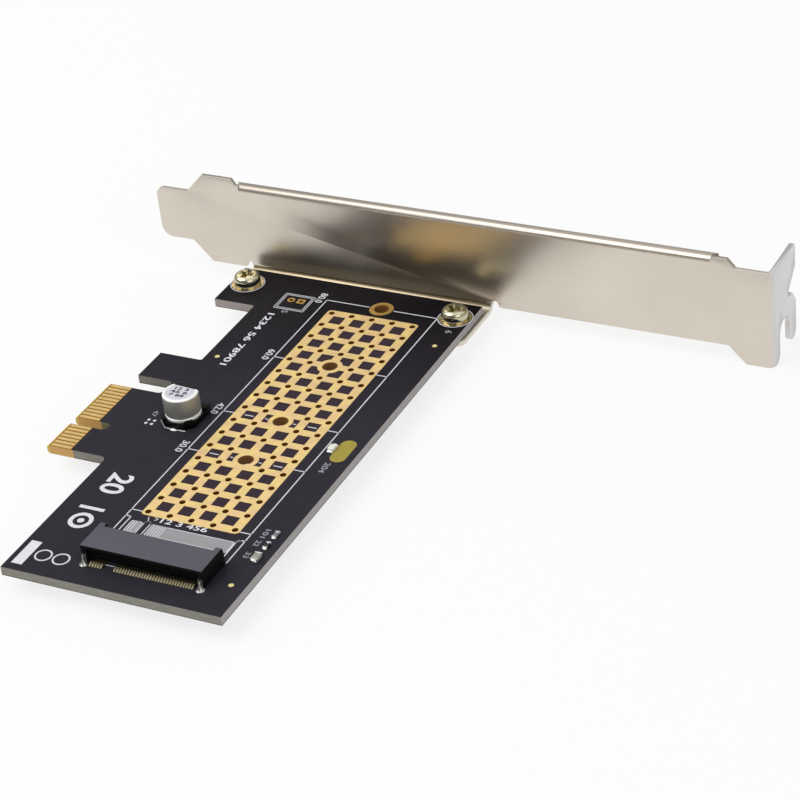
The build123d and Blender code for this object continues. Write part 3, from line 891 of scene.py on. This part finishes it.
@dataclass(frozen=True)
class Legend:
    """Plain digits printed in one place."""

    text: str
    middle: Point
    length: float
    tall: float
    turn: float = -90.0
    bold: float = 0.03

    def shape(self, foot: float, thick: float) -> Shape:
        """Make the digits, brought to their stated size.

        Args:
            foot: Height that they stand on.
            thick: Thickness of the ink.

        Returns:
            The digits as a shape.
        """
        curve = bpy.data.curves.new("digits", "FONT")
        curve.body = self.text
        curve.size = self.tall * 1.4  # a font's digits are about 0.7 of its size
        curve.extrude = thick / 2
        curve.offset = self.bold
        holder = bpy.data.objects.new("digits", curve)
        mesh = bpy.data.meshes.new_from_object(holder)
        shape = Shape()
        shape.bm.from_mesh(mesh)
        spots = [vertex.co for vertex in shape.bm.verts]
        low = Vector([min(spot[axis] for spot in spots) for axis in range(3)])
        high = Vector([max(spot[axis] for spot in spots) for axis in range(3)])
        fit = Matrix.Diagonal((self.length / (high.x - low.x), self.tall / (high.y - low.y), 1.0, 1.0))
        turn = Matrix.Rotation(math.radians(self.turn), 4, "Z")
        place = Matrix.Translation((*self.middle, foot + thick / 2))
        centre = Matrix.Translation(-(low + high) / 2)
        bmesh.ops.transform(shape.bm, matrix=place @ turn @ fit @ centre, verts=shape.bm.verts)
        bpy.data.objects.remove(holder)
        bpy.data.curves.remove(curve)
        bpy.data.meshes.remove(mesh)
        return shape


@dataclass
class BoardPrint:
    """Printed ink on the board: outlines, a contact block, plain numbers and marks."""

    line: float = 0.22
    fine: float = 0.15
    height: float = 0.02
    half_width: float = 11.0
    inner_half: float = 10.0
    outline_start: float = 4.0
    inner_end: float = 10.1
    first_tick: float = 11.9
    end_gap: float = 2.55
    tick_lengths: tuple[float, ...] = (30.0, 42.0, 60.0)
    longest: float = 80.0
    right_inner: tuple[Point, ...] = ((9.75, 4.0), (9.75, 9.2), (9.88, 9.65), (10.2, 9.9), (11.0, 9.95))
    window_lines_x: tuple[Point, ...] = ((5.25, 6.75), (2.5, 2.85))
    block_y: Point = (6.35, 9.2)
    block_x: tuple[Point, ...] = ((-9.25, -7.3), (-5.45, 9.55))
    hatch_end: float = -2.25
    # The real hatching is finer. It is drawn at 0.5 mm, as coarse as it needs to show.
    hatch_pitch: float = 0.5
    hatch_width: float = 0.17
    notch_x: Point = (-7.0, -5.9)
    notch_line: float = 0.187
    notch_steps: int = 8
    pointers: tuple[tuple[Point, ...], ...] = (
        ((-7.1, 10.8), (-6.65, 9.75)),
        ((-6.0, 11.0), (-5.3, 10.75), (-5.75, 10.3)),
    )
    size_label: Point = (-12.3, 0.35)  # place across the board, and how far ahead of the tick
    size_label_size: Point = (3.3, 1.35)
    row_labels: tuple[Legend, ...] = (
        Legend("12 3 456", (-0.45, 10.6), 8.5, 1.2, turn=0.0, bold=0.02),
        Legend("1234 56 78901", (-18.5, 63.9), 18.0, 1.35),
    )
    part_labels: tuple[Legend, ...] = (
        Legend("101", (13.1, 12.8), 2.3, 0.95),
        Legend("22", (13.1, 10.1), 1.5, 0.95),
        Legend("33", (13.05, 6.85), 1.5, 0.95),
        Legend("204", (13.5, 32.1), 2.9, 1.1),
        Legend("5", (-16.6, 74.2), 0.9, 1.2),
        Legend("47", (-21.9, 37.6), 1.7, 1.0),
        Legend("6", (14.9, 76.5), 0.9, 1.3),
    )
    large_label: Legend = Legend("20", (-17.2, 17.3), 5.6, 4.3, bold=0.12)
    header_gaps: Point = (0.85, 1.25)
    header_extra: float = 1.2
    screw_ring: Point = (0.1, 0.28)
    corner_from_near_left: tuple[Point, ...] = ((-0.15, 1.5), (1.6, -0.25))
    corner_from_near_right: Point = (-1.2, -0.25)
    dots_from_near_left: Point = (-2.35, 0.0)
    dot_pitch: Point = (1.1, 1.05)
    dot_radius: float = 0.3
    key_line: tuple[Point, ...] = ((-7.0, -2.58), (-5.5, -2.58))
    target: Point = (-17.3, 6.5)
    target_ring: Point = (1.35, 2.1)
    target_dot: float = 0.6
    bar: tuple[Point, ...] = ((-19.3, 10.0), (-15.4, 10.0))
    bar_width: float = 0.75
    label_bar: tuple[Point, Point] = ((-21.9, -6.85), (-19.95, -0.68))
    corner_rings: tuple[Point, ...] = ((-17.9, -3.6), (-14.6, -3.6))
    corner_ring: Point = (1.2, 1.5)

    def draw(self, lines: list[Line], width: float) -> Shape:
        """Printed lines as one shape.

        Args:
            lines: Corners of each line.
            width: Width of the lines.

        Returns:
            The lines as a shape.
        """
        shape = Shape()
        for points in lines:
            shape.stroke(points, width, self.height)
        return shape

    def write(self, labels: tuple[Legend, ...]) -> Shape:
        """Printed numbers as one shape.

        Args:
            labels: Numbers that are printed.

        Returns:
            The numbers as a shape.
        """
        shape = Shape()
        for label in labels:
            shape.join(label.shape(0.0, self.height))
        return shape

    def outline(self) -> Shape:
        """Outline of the drive, its length ticks and the marks beside the socket.

        Returns:
            The lines as a shape.
        """
        _, pad_high = node_box("heat_pad")
        lines = []
        for side in (-1, 1):
            edge = side * self.half_width
            lines.append([(edge, self.outline_start), (edge, self.longest)])
            lines.append([(edge, self.longest), (side * self.end_gap, self.longest)])
            for length in (self.first_tick, *self.tick_lengths):
                lines.append([(edge, length), (side * pad_high.x, length)])
        inner = -self.inner_half
        turn, end = (inner, self.inner_end), (-self.half_width, self.inner_end)
        lines.append([(inner, self.outline_start), turn, end])
        lines.append(self.right_inner)
        return self.draw(lines, self.line)

    def window_lines(self) -> Shape:
        """Short lines across the pad's windows at the two shorter drive lengths.

        Returns:
            The lines as a shape.
        """
        lines = []
        for length in self.tick_lengths[:2]:
            for side in (-1, 1):
                for near, far in self.window_lines_x:
                    lines.append([(side * near, length), (side * far, length)])
        return self.draw(lines, self.line)

    def contact_block(self) -> Shape:
        """Solid fields that picture the drive's two groups of contacts.

        Returns:
            The fields as a shape, half as thick as the lines over them.
        """
        shape = Shape()
        for left, right in self.block_x:
            shape.box((left, self.block_y[0], 0.0), (right, self.block_y[1], self.height / 2))
        return shape

    def block_lines(self) -> Shape:
        """Borders and hatching of the contact fields, and the key notch between them.

        Returns:
            The lines as a shape.
        """
        shape = Shape()
        low, high = self.block_y
        for left, right in self.block_x:
            border = [(left, low), (right, low), (right, high), (left, high), (left, low)]
            shape.stroke(border, self.fine, self.height)
            count = int((min(right, self.hatch_end) - left) / self.hatch_pitch)
            for index in range(1, count):
                x = left + index * self.hatch_pitch
                shape.stroke([(x, low), (x, high)], self.hatch_width, self.height)
        left, right = self.notch_x
        middle, radius = (left + right) / 2, (right - left) / 2
        turn = [math.pi * (1 - step / self.notch_steps) for step in range(self.notch_steps + 1)]
        arc = [(middle + radius * math.cos(a), high + radius * math.sin(a)) for a in turn]
        shape.stroke([(left, low), *arc, (right, low)], self.notch_line, self.height)
        for line in self.pointers:
            shape.stroke(line, self.fine, self.height)
        return shape

    def size_numbers(self) -> Shape:
        """Drive lengths beside their ticks.

        Returns:
            The numbers as a shape.
        """
        across, ahead = self.size_label
        labels = [
            Legend(f"{length:.1f}", (across, length + ahead), *self.size_label_size)
            for length in (*self.tick_lengths, self.longest)
        ]
        return self.write(tuple(labels))

    def header_frame(self) -> Shape:
        """Double frame round the two empty header pads.

        Returns:
            The frame as a shape.
        """
        low, high = node_box("header_pads")
        lines = []
        for gap in self.header_gaps:
            left, right = low.x - gap, high.x + gap
            near, far = low.y - gap - self.header_extra, high.y + gap
            lines.append([(left, near), (right, near), (right, far), (left, far), (left, near)])
        return self.draw(lines, self.fine)

    def screw_rings(self) -> Shape:
        """Thin rings round the screws' gold pads.

        Returns:
            The rings as a shape.
        """
        low, high = node_box("screw_pads")
        radius, y = (high.y - low.y) / 2, (low.y + high.y) / 2
        inner, outer = self.screw_ring
        shape = Shape()
        for x in (low.x + radius, high.x - radius):
            shape.ring((x, y), radius + inner, radius + outer, 0.0, self.height)
        return shape

    def capacitor_marks(self) -> Shape:
        """Corner line and dots beside the capacitor, and a line at the key between the tails.

        Returns:
            The marks as a shape.
        """
        low, high = node_box("capacitor_base")
        line = [(low.x + x, low.y + y) for x, y in self.corner_from_near_left]
        line.append((high.x + self.corner_from_near_right[0], low.y + self.corner_from_near_right[1]))
        shape = self.draw([line], self.line)
        left, near = low.x + self.dots_from_near_left[0], low.y + self.dots_from_near_left[1]
        for column in range(2):
            for row in range(2):
                spot = (left + column * self.dot_pitch[0], near + row * self.dot_pitch[1])
                shape.post(spot, self.dot_radius, 0.0, self.height, TINY_ROUND)
        shape.join(self.draw([self.key_line], self.fine))
        return shape

    def bold_marks(self) -> Shape:
        """Large plain digits, a ring with its dot, a bar and the label field.

        Returns:
            The marks as a shape.
        """
        shape = self.write((self.large_label,))
        shape.ring(self.target, *self.target_ring, 0.0, self.height)
        shape.post(self.target, self.target_dot, 0.0, self.height, SMALL_ROUND)
        shape.join(self.draw([self.bar], self.bar_width))
        near, far = self.label_bar
        shape.box((*near, 0.0), (*far, self.height))
        return shape

    def thin_marks(self) -> Shape:
        """Two thin rings in the near corner.

        Returns:
            The rings as a shape.
        """
        shape = Shape()
        for spot in self.corner_rings:
            shape.ring(spot, *self.corner_ring, 0.0, self.height)
        return shape

    def build(self, shop: Workshop) -> None:
        """Print everything on the board.

        Args:
            shop: Workshop that makes the materials.
        """
        for name, shape, finish in (
            ("print_outline", self.outline(), INK),
            ("print_window_lines", self.window_lines(), INK),
            ("print_contact_block", self.contact_block(), BLOCK_INK),
            ("print_block_lines", self.block_lines(), INK),
            ("print_size_numbers", self.size_numbers(), INK),
            ("print_row_numbers", self.write(self.row_labels), BOLD_INK),
            ("print_part_numbers", self.write(self.part_labels), THIN_INK),
            ("print_header_frame", self.header_frame(), INK),
            ("print_screw_rings", self.screw_rings(), INK),
            ("print_capacitor_marks", self.capacitor_marks(), INK),
            ("print_bold_marks", self.bold_marks(), BOLD_INK),
            ("print_thin_marks", self.thin_marks(), INK),
        ):
            shop.add(name, shape, finish, Slot.BOARD, smooth=None)


@dataclass
class Bracket:
    """The folded sheet and its two screws."""

    edge_rounding: float = 0.09
    shank_radius: float = 1.25
    crown_share: float = 0.5
    crown_steps: int = 8
    head_slope: float = 0.85
    recess_width: float = 1.3
    recess_span: float = 3.4
    recess_depth: float = 1.2
    recess_taper: float = 0.55
    overshoot: float = 0.5
    cut_weld: float = 0.004

    def screw(self, centre: Point, radius: float, low: float, top: float) -> Shape:
        """One pan head with its cross recess.

        Args:
            centre: Place of its axis.
            radius: Radius of the head.
            low: Height of the head's underside.
            top: Height of its crown.

        Returns:
            The head as a shape.
        """
        side = low + (top - low) * self.crown_share
        crown = [
            (radius - self.head_slope * (1 - math.cos(a)), side + (top - side) * math.sin(a))
            for a in quarter(self.crown_steps)
        ]
        head = Shape()
        head.lathe([(0, low), (radius, low), *crown, (0, top)], centre)
        half, arm = self.recess_span / 2, self.recess_width / 2
        for x, y in ((half, arm), (arm, half)):
            tool = Shape()
            tool.box((-x, -y, top - self.recess_depth), (x, y, top + self.overshoot))
            floor = [vertex for vertex in tool.bm.verts if vertex.co.z < top]
            bmesh.ops.scale(tool.bm, vec=(self.recess_taper, self.recess_taper, 1.0), verts=floor)
            bmesh.ops.translate(tool.bm, vec=(*centre, 0.0), verts=tool.bm.verts)
            head = cut(head, tool)
            bmesh.ops.remove_doubles(head.bm, verts=head.bm.verts, dist=self.cut_weld)
            bmesh.ops.dissolve_degenerate(head.bm, edges=head.bm.edges, dist=self.cut_weld)
        return head

    def build(self, shop: Workshop) -> None:
        """Round and dress the sheet and make the screws.

        Args:
            shop: Workshop that makes the materials.
        """
        shop.rounded("rounded_bracket", "bracket", self.edge_rounding, NICKEL, Slot.BRACKET)
        low, high = node_box("bracket_screws")
        _, pads = node_box("screw_pads")
        radius, y = (high.y - low.y) / 2, (low.y + high.y) / 2
        screws = Shape()
        for x in (low.x + radius, high.x - radius):
            screws.join(self.screw((x, y), radius, pads.z, high.z))
            screws.post((x, y), self.shank_radius, low.z, pads.z, SMALL_ROUND)
        shop.add("bracket_screw_pair", screws, SCREW_NICKEL, Slot.SCREW, "bracket_screws")


@dataclass
class DriveSocket:
    """The moulded housing, its contacts and its soldered hold-downs."""

    rounding: float = 0.05
    tail_pitch: float = 0.5
    tail_width: float = 0.2
    pad_width: float = 0.38
    pad_y: Point = (-3.82, -2.98)
    pad_height: Point = (0.08, 0.5)
    pad_rounding: float = 0.03
    key_x: float = -6.125
    key_clearance: float = 0.95
    cone_inset: Point = (0.42, 0.32)
    cone_y: float = 0.22
    cone: tuple[Point, ...] = (
        (0.0, 0.0),
        (0.74, 0.0),
        (0.5, 0.2),
        (0.3, 0.55),
        (0.17, 1.05),
        (0.11, 1.5),
        (0.0, 1.58),
    )
    cone_smooth: float = 60.0

    def tail_pads(self) -> Shape:
        """Wedges of solder under and beside each tail of the rear row.

        Returns:
            The wedges as a shape.
        """
        low, high = node_box("socket_contacts_upper")
        first, last = low.x + self.tail_width / 2, high.x - self.tail_width / 2
        half = self.pad_width / 2
        front, back = self.pad_y
        shape = Shape()
        for index in range(round((last - first) / self.tail_pitch) + 1):
            x = first + index * self.tail_pitch
            if abs(x - self.key_x) > self.key_clearance:
                shape.box((x - half, front, 0.0), (x + half, back, self.pad_height[1]))
        middle = (front + back) / 2
        slope = [v for v in shape.bm.verts if v.co.z > self.pad_height[0] and v.co.y < middle]
        drop = self.pad_height[0] - self.pad_height[1]
        bmesh.ops.translate(shape.bm, vec=(0, 0, drop), verts=slope)
        shape.bevel(self.pad_rounding)
        return shape

    def build(self, shop: Workshop) -> None:
        """Round and dress the housing, the contacts and the hold-downs.

        Args:
            shop: Workshop that makes the materials.
        """
        shop.rounded("rounded_socket", "socket_housing", self.rounding, SOCKET, Slot.SOCKET)
        shop.dress(CONTACT, "socket_contacts_upper", "socket_contacts_lower")
        shop.dress(DULL_TIN, "socket_hold_downs")
        low, high = node_box("socket_hold_downs")
        solder = Shape()
        for x in (low.x + self.cone_inset[0], high.x - self.cone_inset[1]):
            solder.lathe(self.cone, (x, low.y + self.cone_y), SMALL_ROUND)
        shop.add("hold_down_solder", solder, DULL_TIN, Slot.TIN, smooth=self.cone_smooth)
        shop.add("tail_solder", self.tail_pads(), TAIL_SOLDER, Slot.TIN)


@dataclass
class ReservoirCapacitor:
    """The can, its printed top, base and leads."""

    foot_in: float = 0.2
    foot_rise: float = 0.15
    crimp_height: float = 0.75
    crimp_depth: float = 0.24
    crimp_half: float = 0.3
    crimp_steps: int = 4
    rim_round: float = 0.4
    rim_steps: int = 6
    rim_width: float = 0.5
    rim_start: float = 25.0
    dish: float = 0.08
    coat: float = 0.015
    disc_in: float = 0.12
    mark_chord: float = 1.55
    mark_turn: float = 86.0
    mark_tuck: float = 0.06
    digit_tall: float = 0.75
    digit_thick: float = 0.02
    digit_shift: float = -0.1
    digit_rows: tuple[tuple[str, float, float], ...] = (
        ("12 3", 0.85, 2.6),
        ("45 6", -0.15, 3.2),
        ("7 89", -1.15, 2.8),
    )
    base_rounding: float = 0.08
    lead_blob: Point3 = (1.5, 1.0, 0.6)
    lead_blob_in: float = 0.1

    def rim(self, radius: float, top: float, start: float = 0.0) -> list[Point]:
        """Profile of the rolled rim.

        Args:
            radius: Radius at the can's side.
            top: Height of the rim.
            start: How far up the roll the profile starts, in degrees.

        Returns:
            Radius and height of each point, from the side to the top.
        """
        return [
            (radius - self.rim_round * (1 - math.cos(a)), top - self.rim_round * (1 - math.sin(a)))
            for a in quarter(self.rim_steps, start)
        ]

    def can(self, centre: Point, radius: float, low: float, top: float) -> Shape:
        """Can with a crimped foot and a rolled rim.

        Args:
            centre: Place of its axis.
            radius: Radius of the can.
            low: Height of its foot.
            top: Height of its rim.

        Returns:
            The can as a shape.
        """
        waist = []
        for step in range(-self.crimp_steps, self.crimp_steps + 1):
            share = step / self.crimp_steps
            depth = self.crimp_depth * (0.5 + 0.5 * math.cos(math.pi * share))
            waist.append((radius - depth, low + self.crimp_height + self.crimp_half * share))
        inside = radius - self.rim_width
        profile = [
            (0, low),
            (radius - self.foot_in, low),
            (radius, low + self.foot_rise),
            *waist,
            *self.rim(radius, top),
            (inside, top),
            (inside - self.dish, top - self.dish),
            (0, top - self.dish),
        ]
        shape = Shape()
        shape.lathe(profile, centre)
        return shape

    def cap(self, centre: Point, radius: float, top: float, tuck: float) -> Shape:
        """Thin coat over the rim and the top inside it.

        Args:
            centre: Place of the can's axis.
            radius: Radius of the coat at the can's side.
            top: Height of the coat on the rim.
            tuck: How far the rim's inner edge lies inside the bare can's.

        Returns:
            The coat as a closed shape whose underside lies inside the can.
        """
        inside = radius - self.rim_width - tuck
        profile = [
            (0, top - self.rim_round),
            (inside, top - self.rim_round),
            *self.rim(radius, top, self.rim_start),
            (inside, top),
            (inside - self.dish, top - self.dish),
            (0, top - self.dish),
        ]
        shape = Shape()
        shape.lathe(profile, centre)
        return shape

    def mark(self, centre: Point, radius: float, top: float) -> Shape:
        """Black segment: the coat once more, cut off along a chord.

        Args:
            centre: Place of the can's axis.
            radius: Radius of the segment at the can's side.
            top: Height of its upper side on the rim.

        Returns:
            The segment as a closed shape.
        """
        shape = self.cap(centre, radius, top, self.mark_tuck)
        turn = math.radians(self.mark_turn)
        away = Vector((math.cos(turn), math.sin(turn), 0))
        bmesh.ops.bisect_plane(
            shape.bm,
            geom=shape.bm.verts[:] + shape.bm.edges[:] + shape.bm.faces[:],
            plane_co=Vector((*centre, 0)) + away * self.mark_chord,
            plane_no=away,
            clear_inner=True,
        )
        bmesh.ops.holes_fill(shape.bm, edges=shape.bm.edges[:], sides=0)
        return shape

    def digits(self, centre: Point, face: float) -> Shape:
        """Three short rows of plain digits on the top.

        Args:
            centre: Place of the can's axis.
            face: Height that the digits stand on.

        Returns:
            The digits as a shape.
        """
        shape = Shape()
        for text, ahead, length in self.digit_rows:
            middle = (centre[0] + self.digit_shift, centre[1] + ahead)
            label = Legend(text, middle, length, self.digit_tall, turn=0.0, bold=0.02)
            shape.join(label.shape(face, self.digit_thick))
        return shape

    def build(self, shop: Workshop) -> None:
        """Make the can and dress the rest.

        Args:
            shop: Workshop that makes the materials.
        """
        low, high = node_box("capacitor_can")
        centre = ((low.x + high.x) / 2, (low.y + high.y) / 2)
        radius, coat = (high.x - low.x) / 2, self.coat
        can = self.can(centre, radius - 2 * coat, low.z, high.z - 2 * coat)
        shop.add("drawn_can", can, CAN, Slot.CAN, "capacitor_can")
        cap = self.cap(centre, radius - coat, high.z - coat, 2 * coat)
        shop.add("can_rim_coat", cap, CAN_RIM, Slot.CAN)
        face = high.z - self.dish
        inside = radius - self.rim_width - self.disc_in
        disc = Shape()
        disc.post(centre, inside, face - 2 * coat, face - coat / 2, LARGE_ROUND)
        shop.add("can_top_disc", disc, CAN_TOP, Slot.CAN)
        digits = self.digits(centre, face - coat / 2)
        shop.add("can_top_digits", digits, CAN_MARK, Slot.CAN, smooth=None)
        shop.add("can_top_mark", self.mark(centre, radius, high.z), CAN_MARK, Slot.CAN)
        shop.rounded("rounded_base", "capacitor_base", self.base_rounding, BASE, Slot.BASE)
        shop.dress(TIN, "capacitor_leads")
        near, far = node_box("capacitor_leads")
        solder = Shape()
        for y in (near.y + self.lead_blob_in, far.y - self.lead_blob_in):
            solder.blob((centre[0], y, 0.0), self.lead_blob)
        shop.add("lead_solder", solder, TIN, Slot.TIN, smooth=180.0)


@dataclass(frozen=True)
class Chip:
    """A small part with a body between two soldered ends."""

    name: str
    finish: Finish
    slot: Slot
    swell: float  # width of its solder, as a share of its own


@dataclass
class SmallChips:
    """Two chip capacitors and a chip resistor with their solder."""

    rounding: float = 0.06
    blob_in: float = 0.08
    blob_length: float = 0.85
    blob_middle: float = 0.3
    blob_height: float = 1.5
    chips: tuple[Chip, ...] = (
        Chip("small_chip", CHIP, Slot.CHIP, 1.15),
        Chip("large_chip", LARGE_CHIP, Slot.CHIP, 1.05),
        Chip("resistor", RESISTOR, Slot.RESISTOR, 1.1),
    )

    def build(self, shop: Workshop) -> None:
        """Dress the bodies and put solder over their ends.

        Args:
            shop: Workshop that makes the materials.
        """
        for chip in self.chips:
            name = chip.name
            shop.rounded(f"{name}_rounded", f"{name}_body", self.rounding, chip.finish, chip.slot)
            shop.dress(TIN, f"{name}_ends")
            low, high = node_box(f"{name}_ends")
            middle, width, height = (low.x + high.x) / 2, high.x - low.x, high.z
            size = (width * chip.swell, self.blob_length, height * self.blob_height)
            solder = Shape()
            for y in (low.y + self.blob_in, high.y - self.blob_in):
                solder.blob((middle, y, height * self.blob_middle), size)
            shop.add(f"{name}_solder", solder, TIN, Slot.TIN, smooth=180.0)


@dataclass
class SignalLamp:
    """The lamp, its solder and the bare window that lets its light through the board."""

    window_length: float = 6.5
    window_width: float = 2.8
    window_offset: float = 2.0
    window_steps: int = 64
    height: float = 0.012
    lens_rounding: float = 0.06
    blob: Point3 = (1.25, 0.75, 0.75)
    blob_middle: float = 0.08

    def window(self, centre: Point) -> Shape:
        """Flat window with round ends: a disc whose halves are drawn apart.

        Args:
            centre: Place of its middle.

        Returns:
            The window as a shape.
        """
        shape = Shape()
        radius = self.window_width / 2
        shape.post(centre, radius, 0.0, self.height, self.window_steps)
        for side in (-1, 1):
            half = [v for v in shape.bm.verts if side * (v.co.y - centre[1]) > 0.001]
            reach = side * (self.window_length / 2 - radius)
            bmesh.ops.translate(shape.bm, vec=(0, reach, 0), verts=half)
        return shape

    def build(self, shop: Workshop) -> None:
        """Make the window and dress the lamp.

        Args:
            shop: Workshop that makes the materials.
        """
        low, high = node_box("lamp_ends")
        middle = ((low.x + high.x) / 2, (low.y + high.y) / 2)
        window = self.window((middle[0] + self.window_offset, middle[1]))
        shop.add("lamp_window", window, BARE, Slot.BOARD)
        shop.dress(TIN, "lamp_ends")
        shop.dress(LAMP_WHITE, "lamp_base")
        shop.rounded("rounded_lens", "lamp_lens", self.lens_rounding, LAMP_CLEAR, Slot.LAMP_CLEAR, 3)
        solder = Shape()
        for y in (low.y, high.y):
            solder.blob((middle[0], y, self.blob_middle), self.blob)
        shop.add("lamp_solder", solder, TIN, Slot.TIN, smooth=180.0)


@dataclass(frozen=True)
class SoftBox:
    """A soft square lamp: its place and side in metres, its power in watts."""

    name: str
    place: Point3
    size: float
    power: float


@dataclass
class Studio:
    """Pale floor, soft lamps and the camera at the photograph's angle."""

    lens: float = 115.84
    sensor: float = 36.0
    reach: float = 20.0
    camera_mm: Point3 = (196.866, -262.570, 231.637)
    azimuth: float = 29.68
    elevation: float = 32.434
    roll: float = 6.58
    floor_half: float = 3.0
    floor_gap: float = 0.00002
    floor_colour: str = "#f4f4f4"
    white: str = "#ffffff"
    world_level: float = 0.55
    low_sky: float = 0.5
    high_sky: float = 1.15
    sky_rise: Point = (0.42, 0.85)
    front_share: float = 0.4
    front_run: Point = (-0.6, 0.0)
    backdrop_share: float = 0.8
    aim: Point3 = (0.0, 0.05, 0.0)
    lamps: tuple[SoftBox, ...] = (
        SoftBox("key", (-0.7, -0.3, 1.1), 1.15, 10.5),
        SoftBox("fill", (0.9, -0.6, 0.7), 0.9, 3.0),
    )

    def camera(self) -> None:
        """Put the camera where the photograph was taken from."""
        data = bpy.data.cameras.new("photo_camera")
        data.sensor_width = self.sensor
        data.lens = self.lens
        data.clip_end = self.reach
        camera = bpy.data.objects.new("photo_camera", data)
        bpy.context.scene.collection.objects.link(camera)
        turn = Matrix.Rotation(math.radians(self.azimuth), 4, "Z")
        tilt = Matrix.Rotation(math.radians(90.0 - self.elevation), 4, "X")
        lean = Matrix.Rotation(math.radians(-self.roll), 4, "Z")
        place = Matrix.Translation(Vector(self.camera_mm) * MM)
        camera.matrix_world = place @ turn @ tilt @ lean
        bpy.context.scene.camera = camera

    def floor(self) -> None:
        """Lay a pale floor under the lowest point, white to the camera but for its shadow."""
        low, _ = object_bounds()
        bm = bmesh.new()
        bmesh.ops.create_grid(bm, x_segments=1, y_segments=1, size=self.floor_half)
        bmesh.ops.translate(bm, vec=(0, 0, low[2] - self.floor_gap), verts=bm.verts)
        mesh = bpy.data.meshes.new("floor")
        bm.to_mesh(mesh)
        bm.free()
        floor = bpy.data.objects.new("floor", mesh)
        bpy.context.scene.collection.objects.link(floor)
        material = bpy.data.materials.new("pale_floor")
        material.use_nodes = True
        tree = material.node_tree
        tree.nodes.clear()
        paint = add_node(tree, "ShaderNodeBsdfDiffuse", {"Color": self.floor_colour})
        glow = add_node(tree, "ShaderNodeEmission", {"Color": self.white, "Strength": 1.0})
        factor = {1: self.backdrop_share}
        share = add_node(tree, "ShaderNodeMath", factor, {0: self.seen(tree)}, operation="MULTIPLY")
        links = {0: share.outputs["Value"], 1: paint.outputs["BSDF"], 2: glow.outputs["Emission"]}
        mix = add_node(tree, "ShaderNodeMixShader", None, links)
        add_node(tree, "ShaderNodeOutputMaterial", None, {"Surface": mix.outputs["Shader"]})
        mesh.materials.append(material)
        floor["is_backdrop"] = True

    def seen(self, tree: Tree) -> Socket:
        """Mask of the rays that show the surroundings.

        Args:
            tree: Node tree that gets the mask.

        Returns:
            Socket that is 1 for the camera's own rays and for reflections.
        """
        path = add_node(tree, "ShaderNodeLightPath").outputs
        mask = path["Is Camera Ray"]
        for kind in ("Is Glossy Ray", "Is Transmission Ray"):
            pair = {0: mask, 1: path[kind]}
            mask = add_node(tree, "ShaderNodeMath", None, pair, operation="MAXIMUM").outputs["Value"]
        return mask

    def world(self) -> None:
        """Even pale surroundings, white where the camera sees them.

        Reflections see a sky that brightens upwards, as under a large overhead soft box, and that
        is darker on the camera's side of the room.
        """
        world = bpy.data.worlds.new("studio")
        world.use_nodes = True
        tree = world.node_tree
        background = tree.nodes["Background"]
        background.inputs["Color"].default_value = linear(self.white)
        way = add_node(tree, "ShaderNodeTexCoord").outputs["Generated"]
        ways = add_node(tree, "ShaderNodeSeparateXYZ", None, {"Vector": way}).outputs
        levels = []
        for axis, run, low, high in (
            ("Z", self.sky_rise, self.low_sky, self.high_sky),
            ("Y", self.front_run, self.front_share, 1.0),
        ):
            ends = {"From Min": run[0], "From Max": run[1], "To Min": low, "To Max": high}
            ramp = add_node(tree, "ShaderNodeMapRange", ends, {"Value": ways[axis]})
            levels.append(ramp.outputs["Result"])
        pair = dict(enumerate(levels))
        sky = add_node(tree, "ShaderNodeMath", None, pair, operation="MULTIPLY").outputs["Value"]
        path = add_node(tree, "ShaderNodeLightPath").outputs
        shown = {"Value": self.seen(tree), "To Max": sky}
        mirrored = add_node(tree, "ShaderNodeMapRange", {"To Min": self.world_level}, shown)
        behind = {"Value": path["Is Camera Ray"], "To Min": mirrored.outputs["Result"]}
        level = add_node(tree, "ShaderNodeMapRange", {"To Max": 1.0}, behind)
        tree.links.new(level.outputs["Result"], background.inputs["Strength"])
        bpy.context.scene.world = world

    def light(self, box: SoftBox) -> None:
        """Add one soft square lamp.

        Args:
            box: Lamp that is added.
        """
        data = bpy.data.lights.new(box.name, "AREA")
        data.size = box.size
        data.energy = box.power
        lamp = bpy.data.objects.new(box.name, data)
        bpy.context.scene.collection.objects.link(lamp)
        lamp.location = box.place
        way = Vector(self.aim) - Vector(box.place)
        lamp.rotation_euler = way.to_track_quat("-Z", "Y").to_euler()

    def build(self) -> None:
        """Set up camera, floor, world and lamps."""
        bpy.context.scene.view_settings.view_transform = "Standard"
        self.camera()
        self.floor()
        self.world()
        for box in self.lamps:
            self.light(box)


def main() -> None:
    """Build every sub-assembly in order."""
    logging.basicConfig(level=logging.INFO)
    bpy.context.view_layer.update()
    shop = Workshop()
    parts = (
        Board(),
        BoardPrint(),
        Bracket(),
        DriveSocket(),
        ReservoirCapacitor(),
        SmallChips(),
        SignalLamp(),
    )
    for part in parts:
        LOG.info("building %s", type(part).__name__)
        part.build(shop)
    Studio().build()


if __name__ == "__main__":
    main()
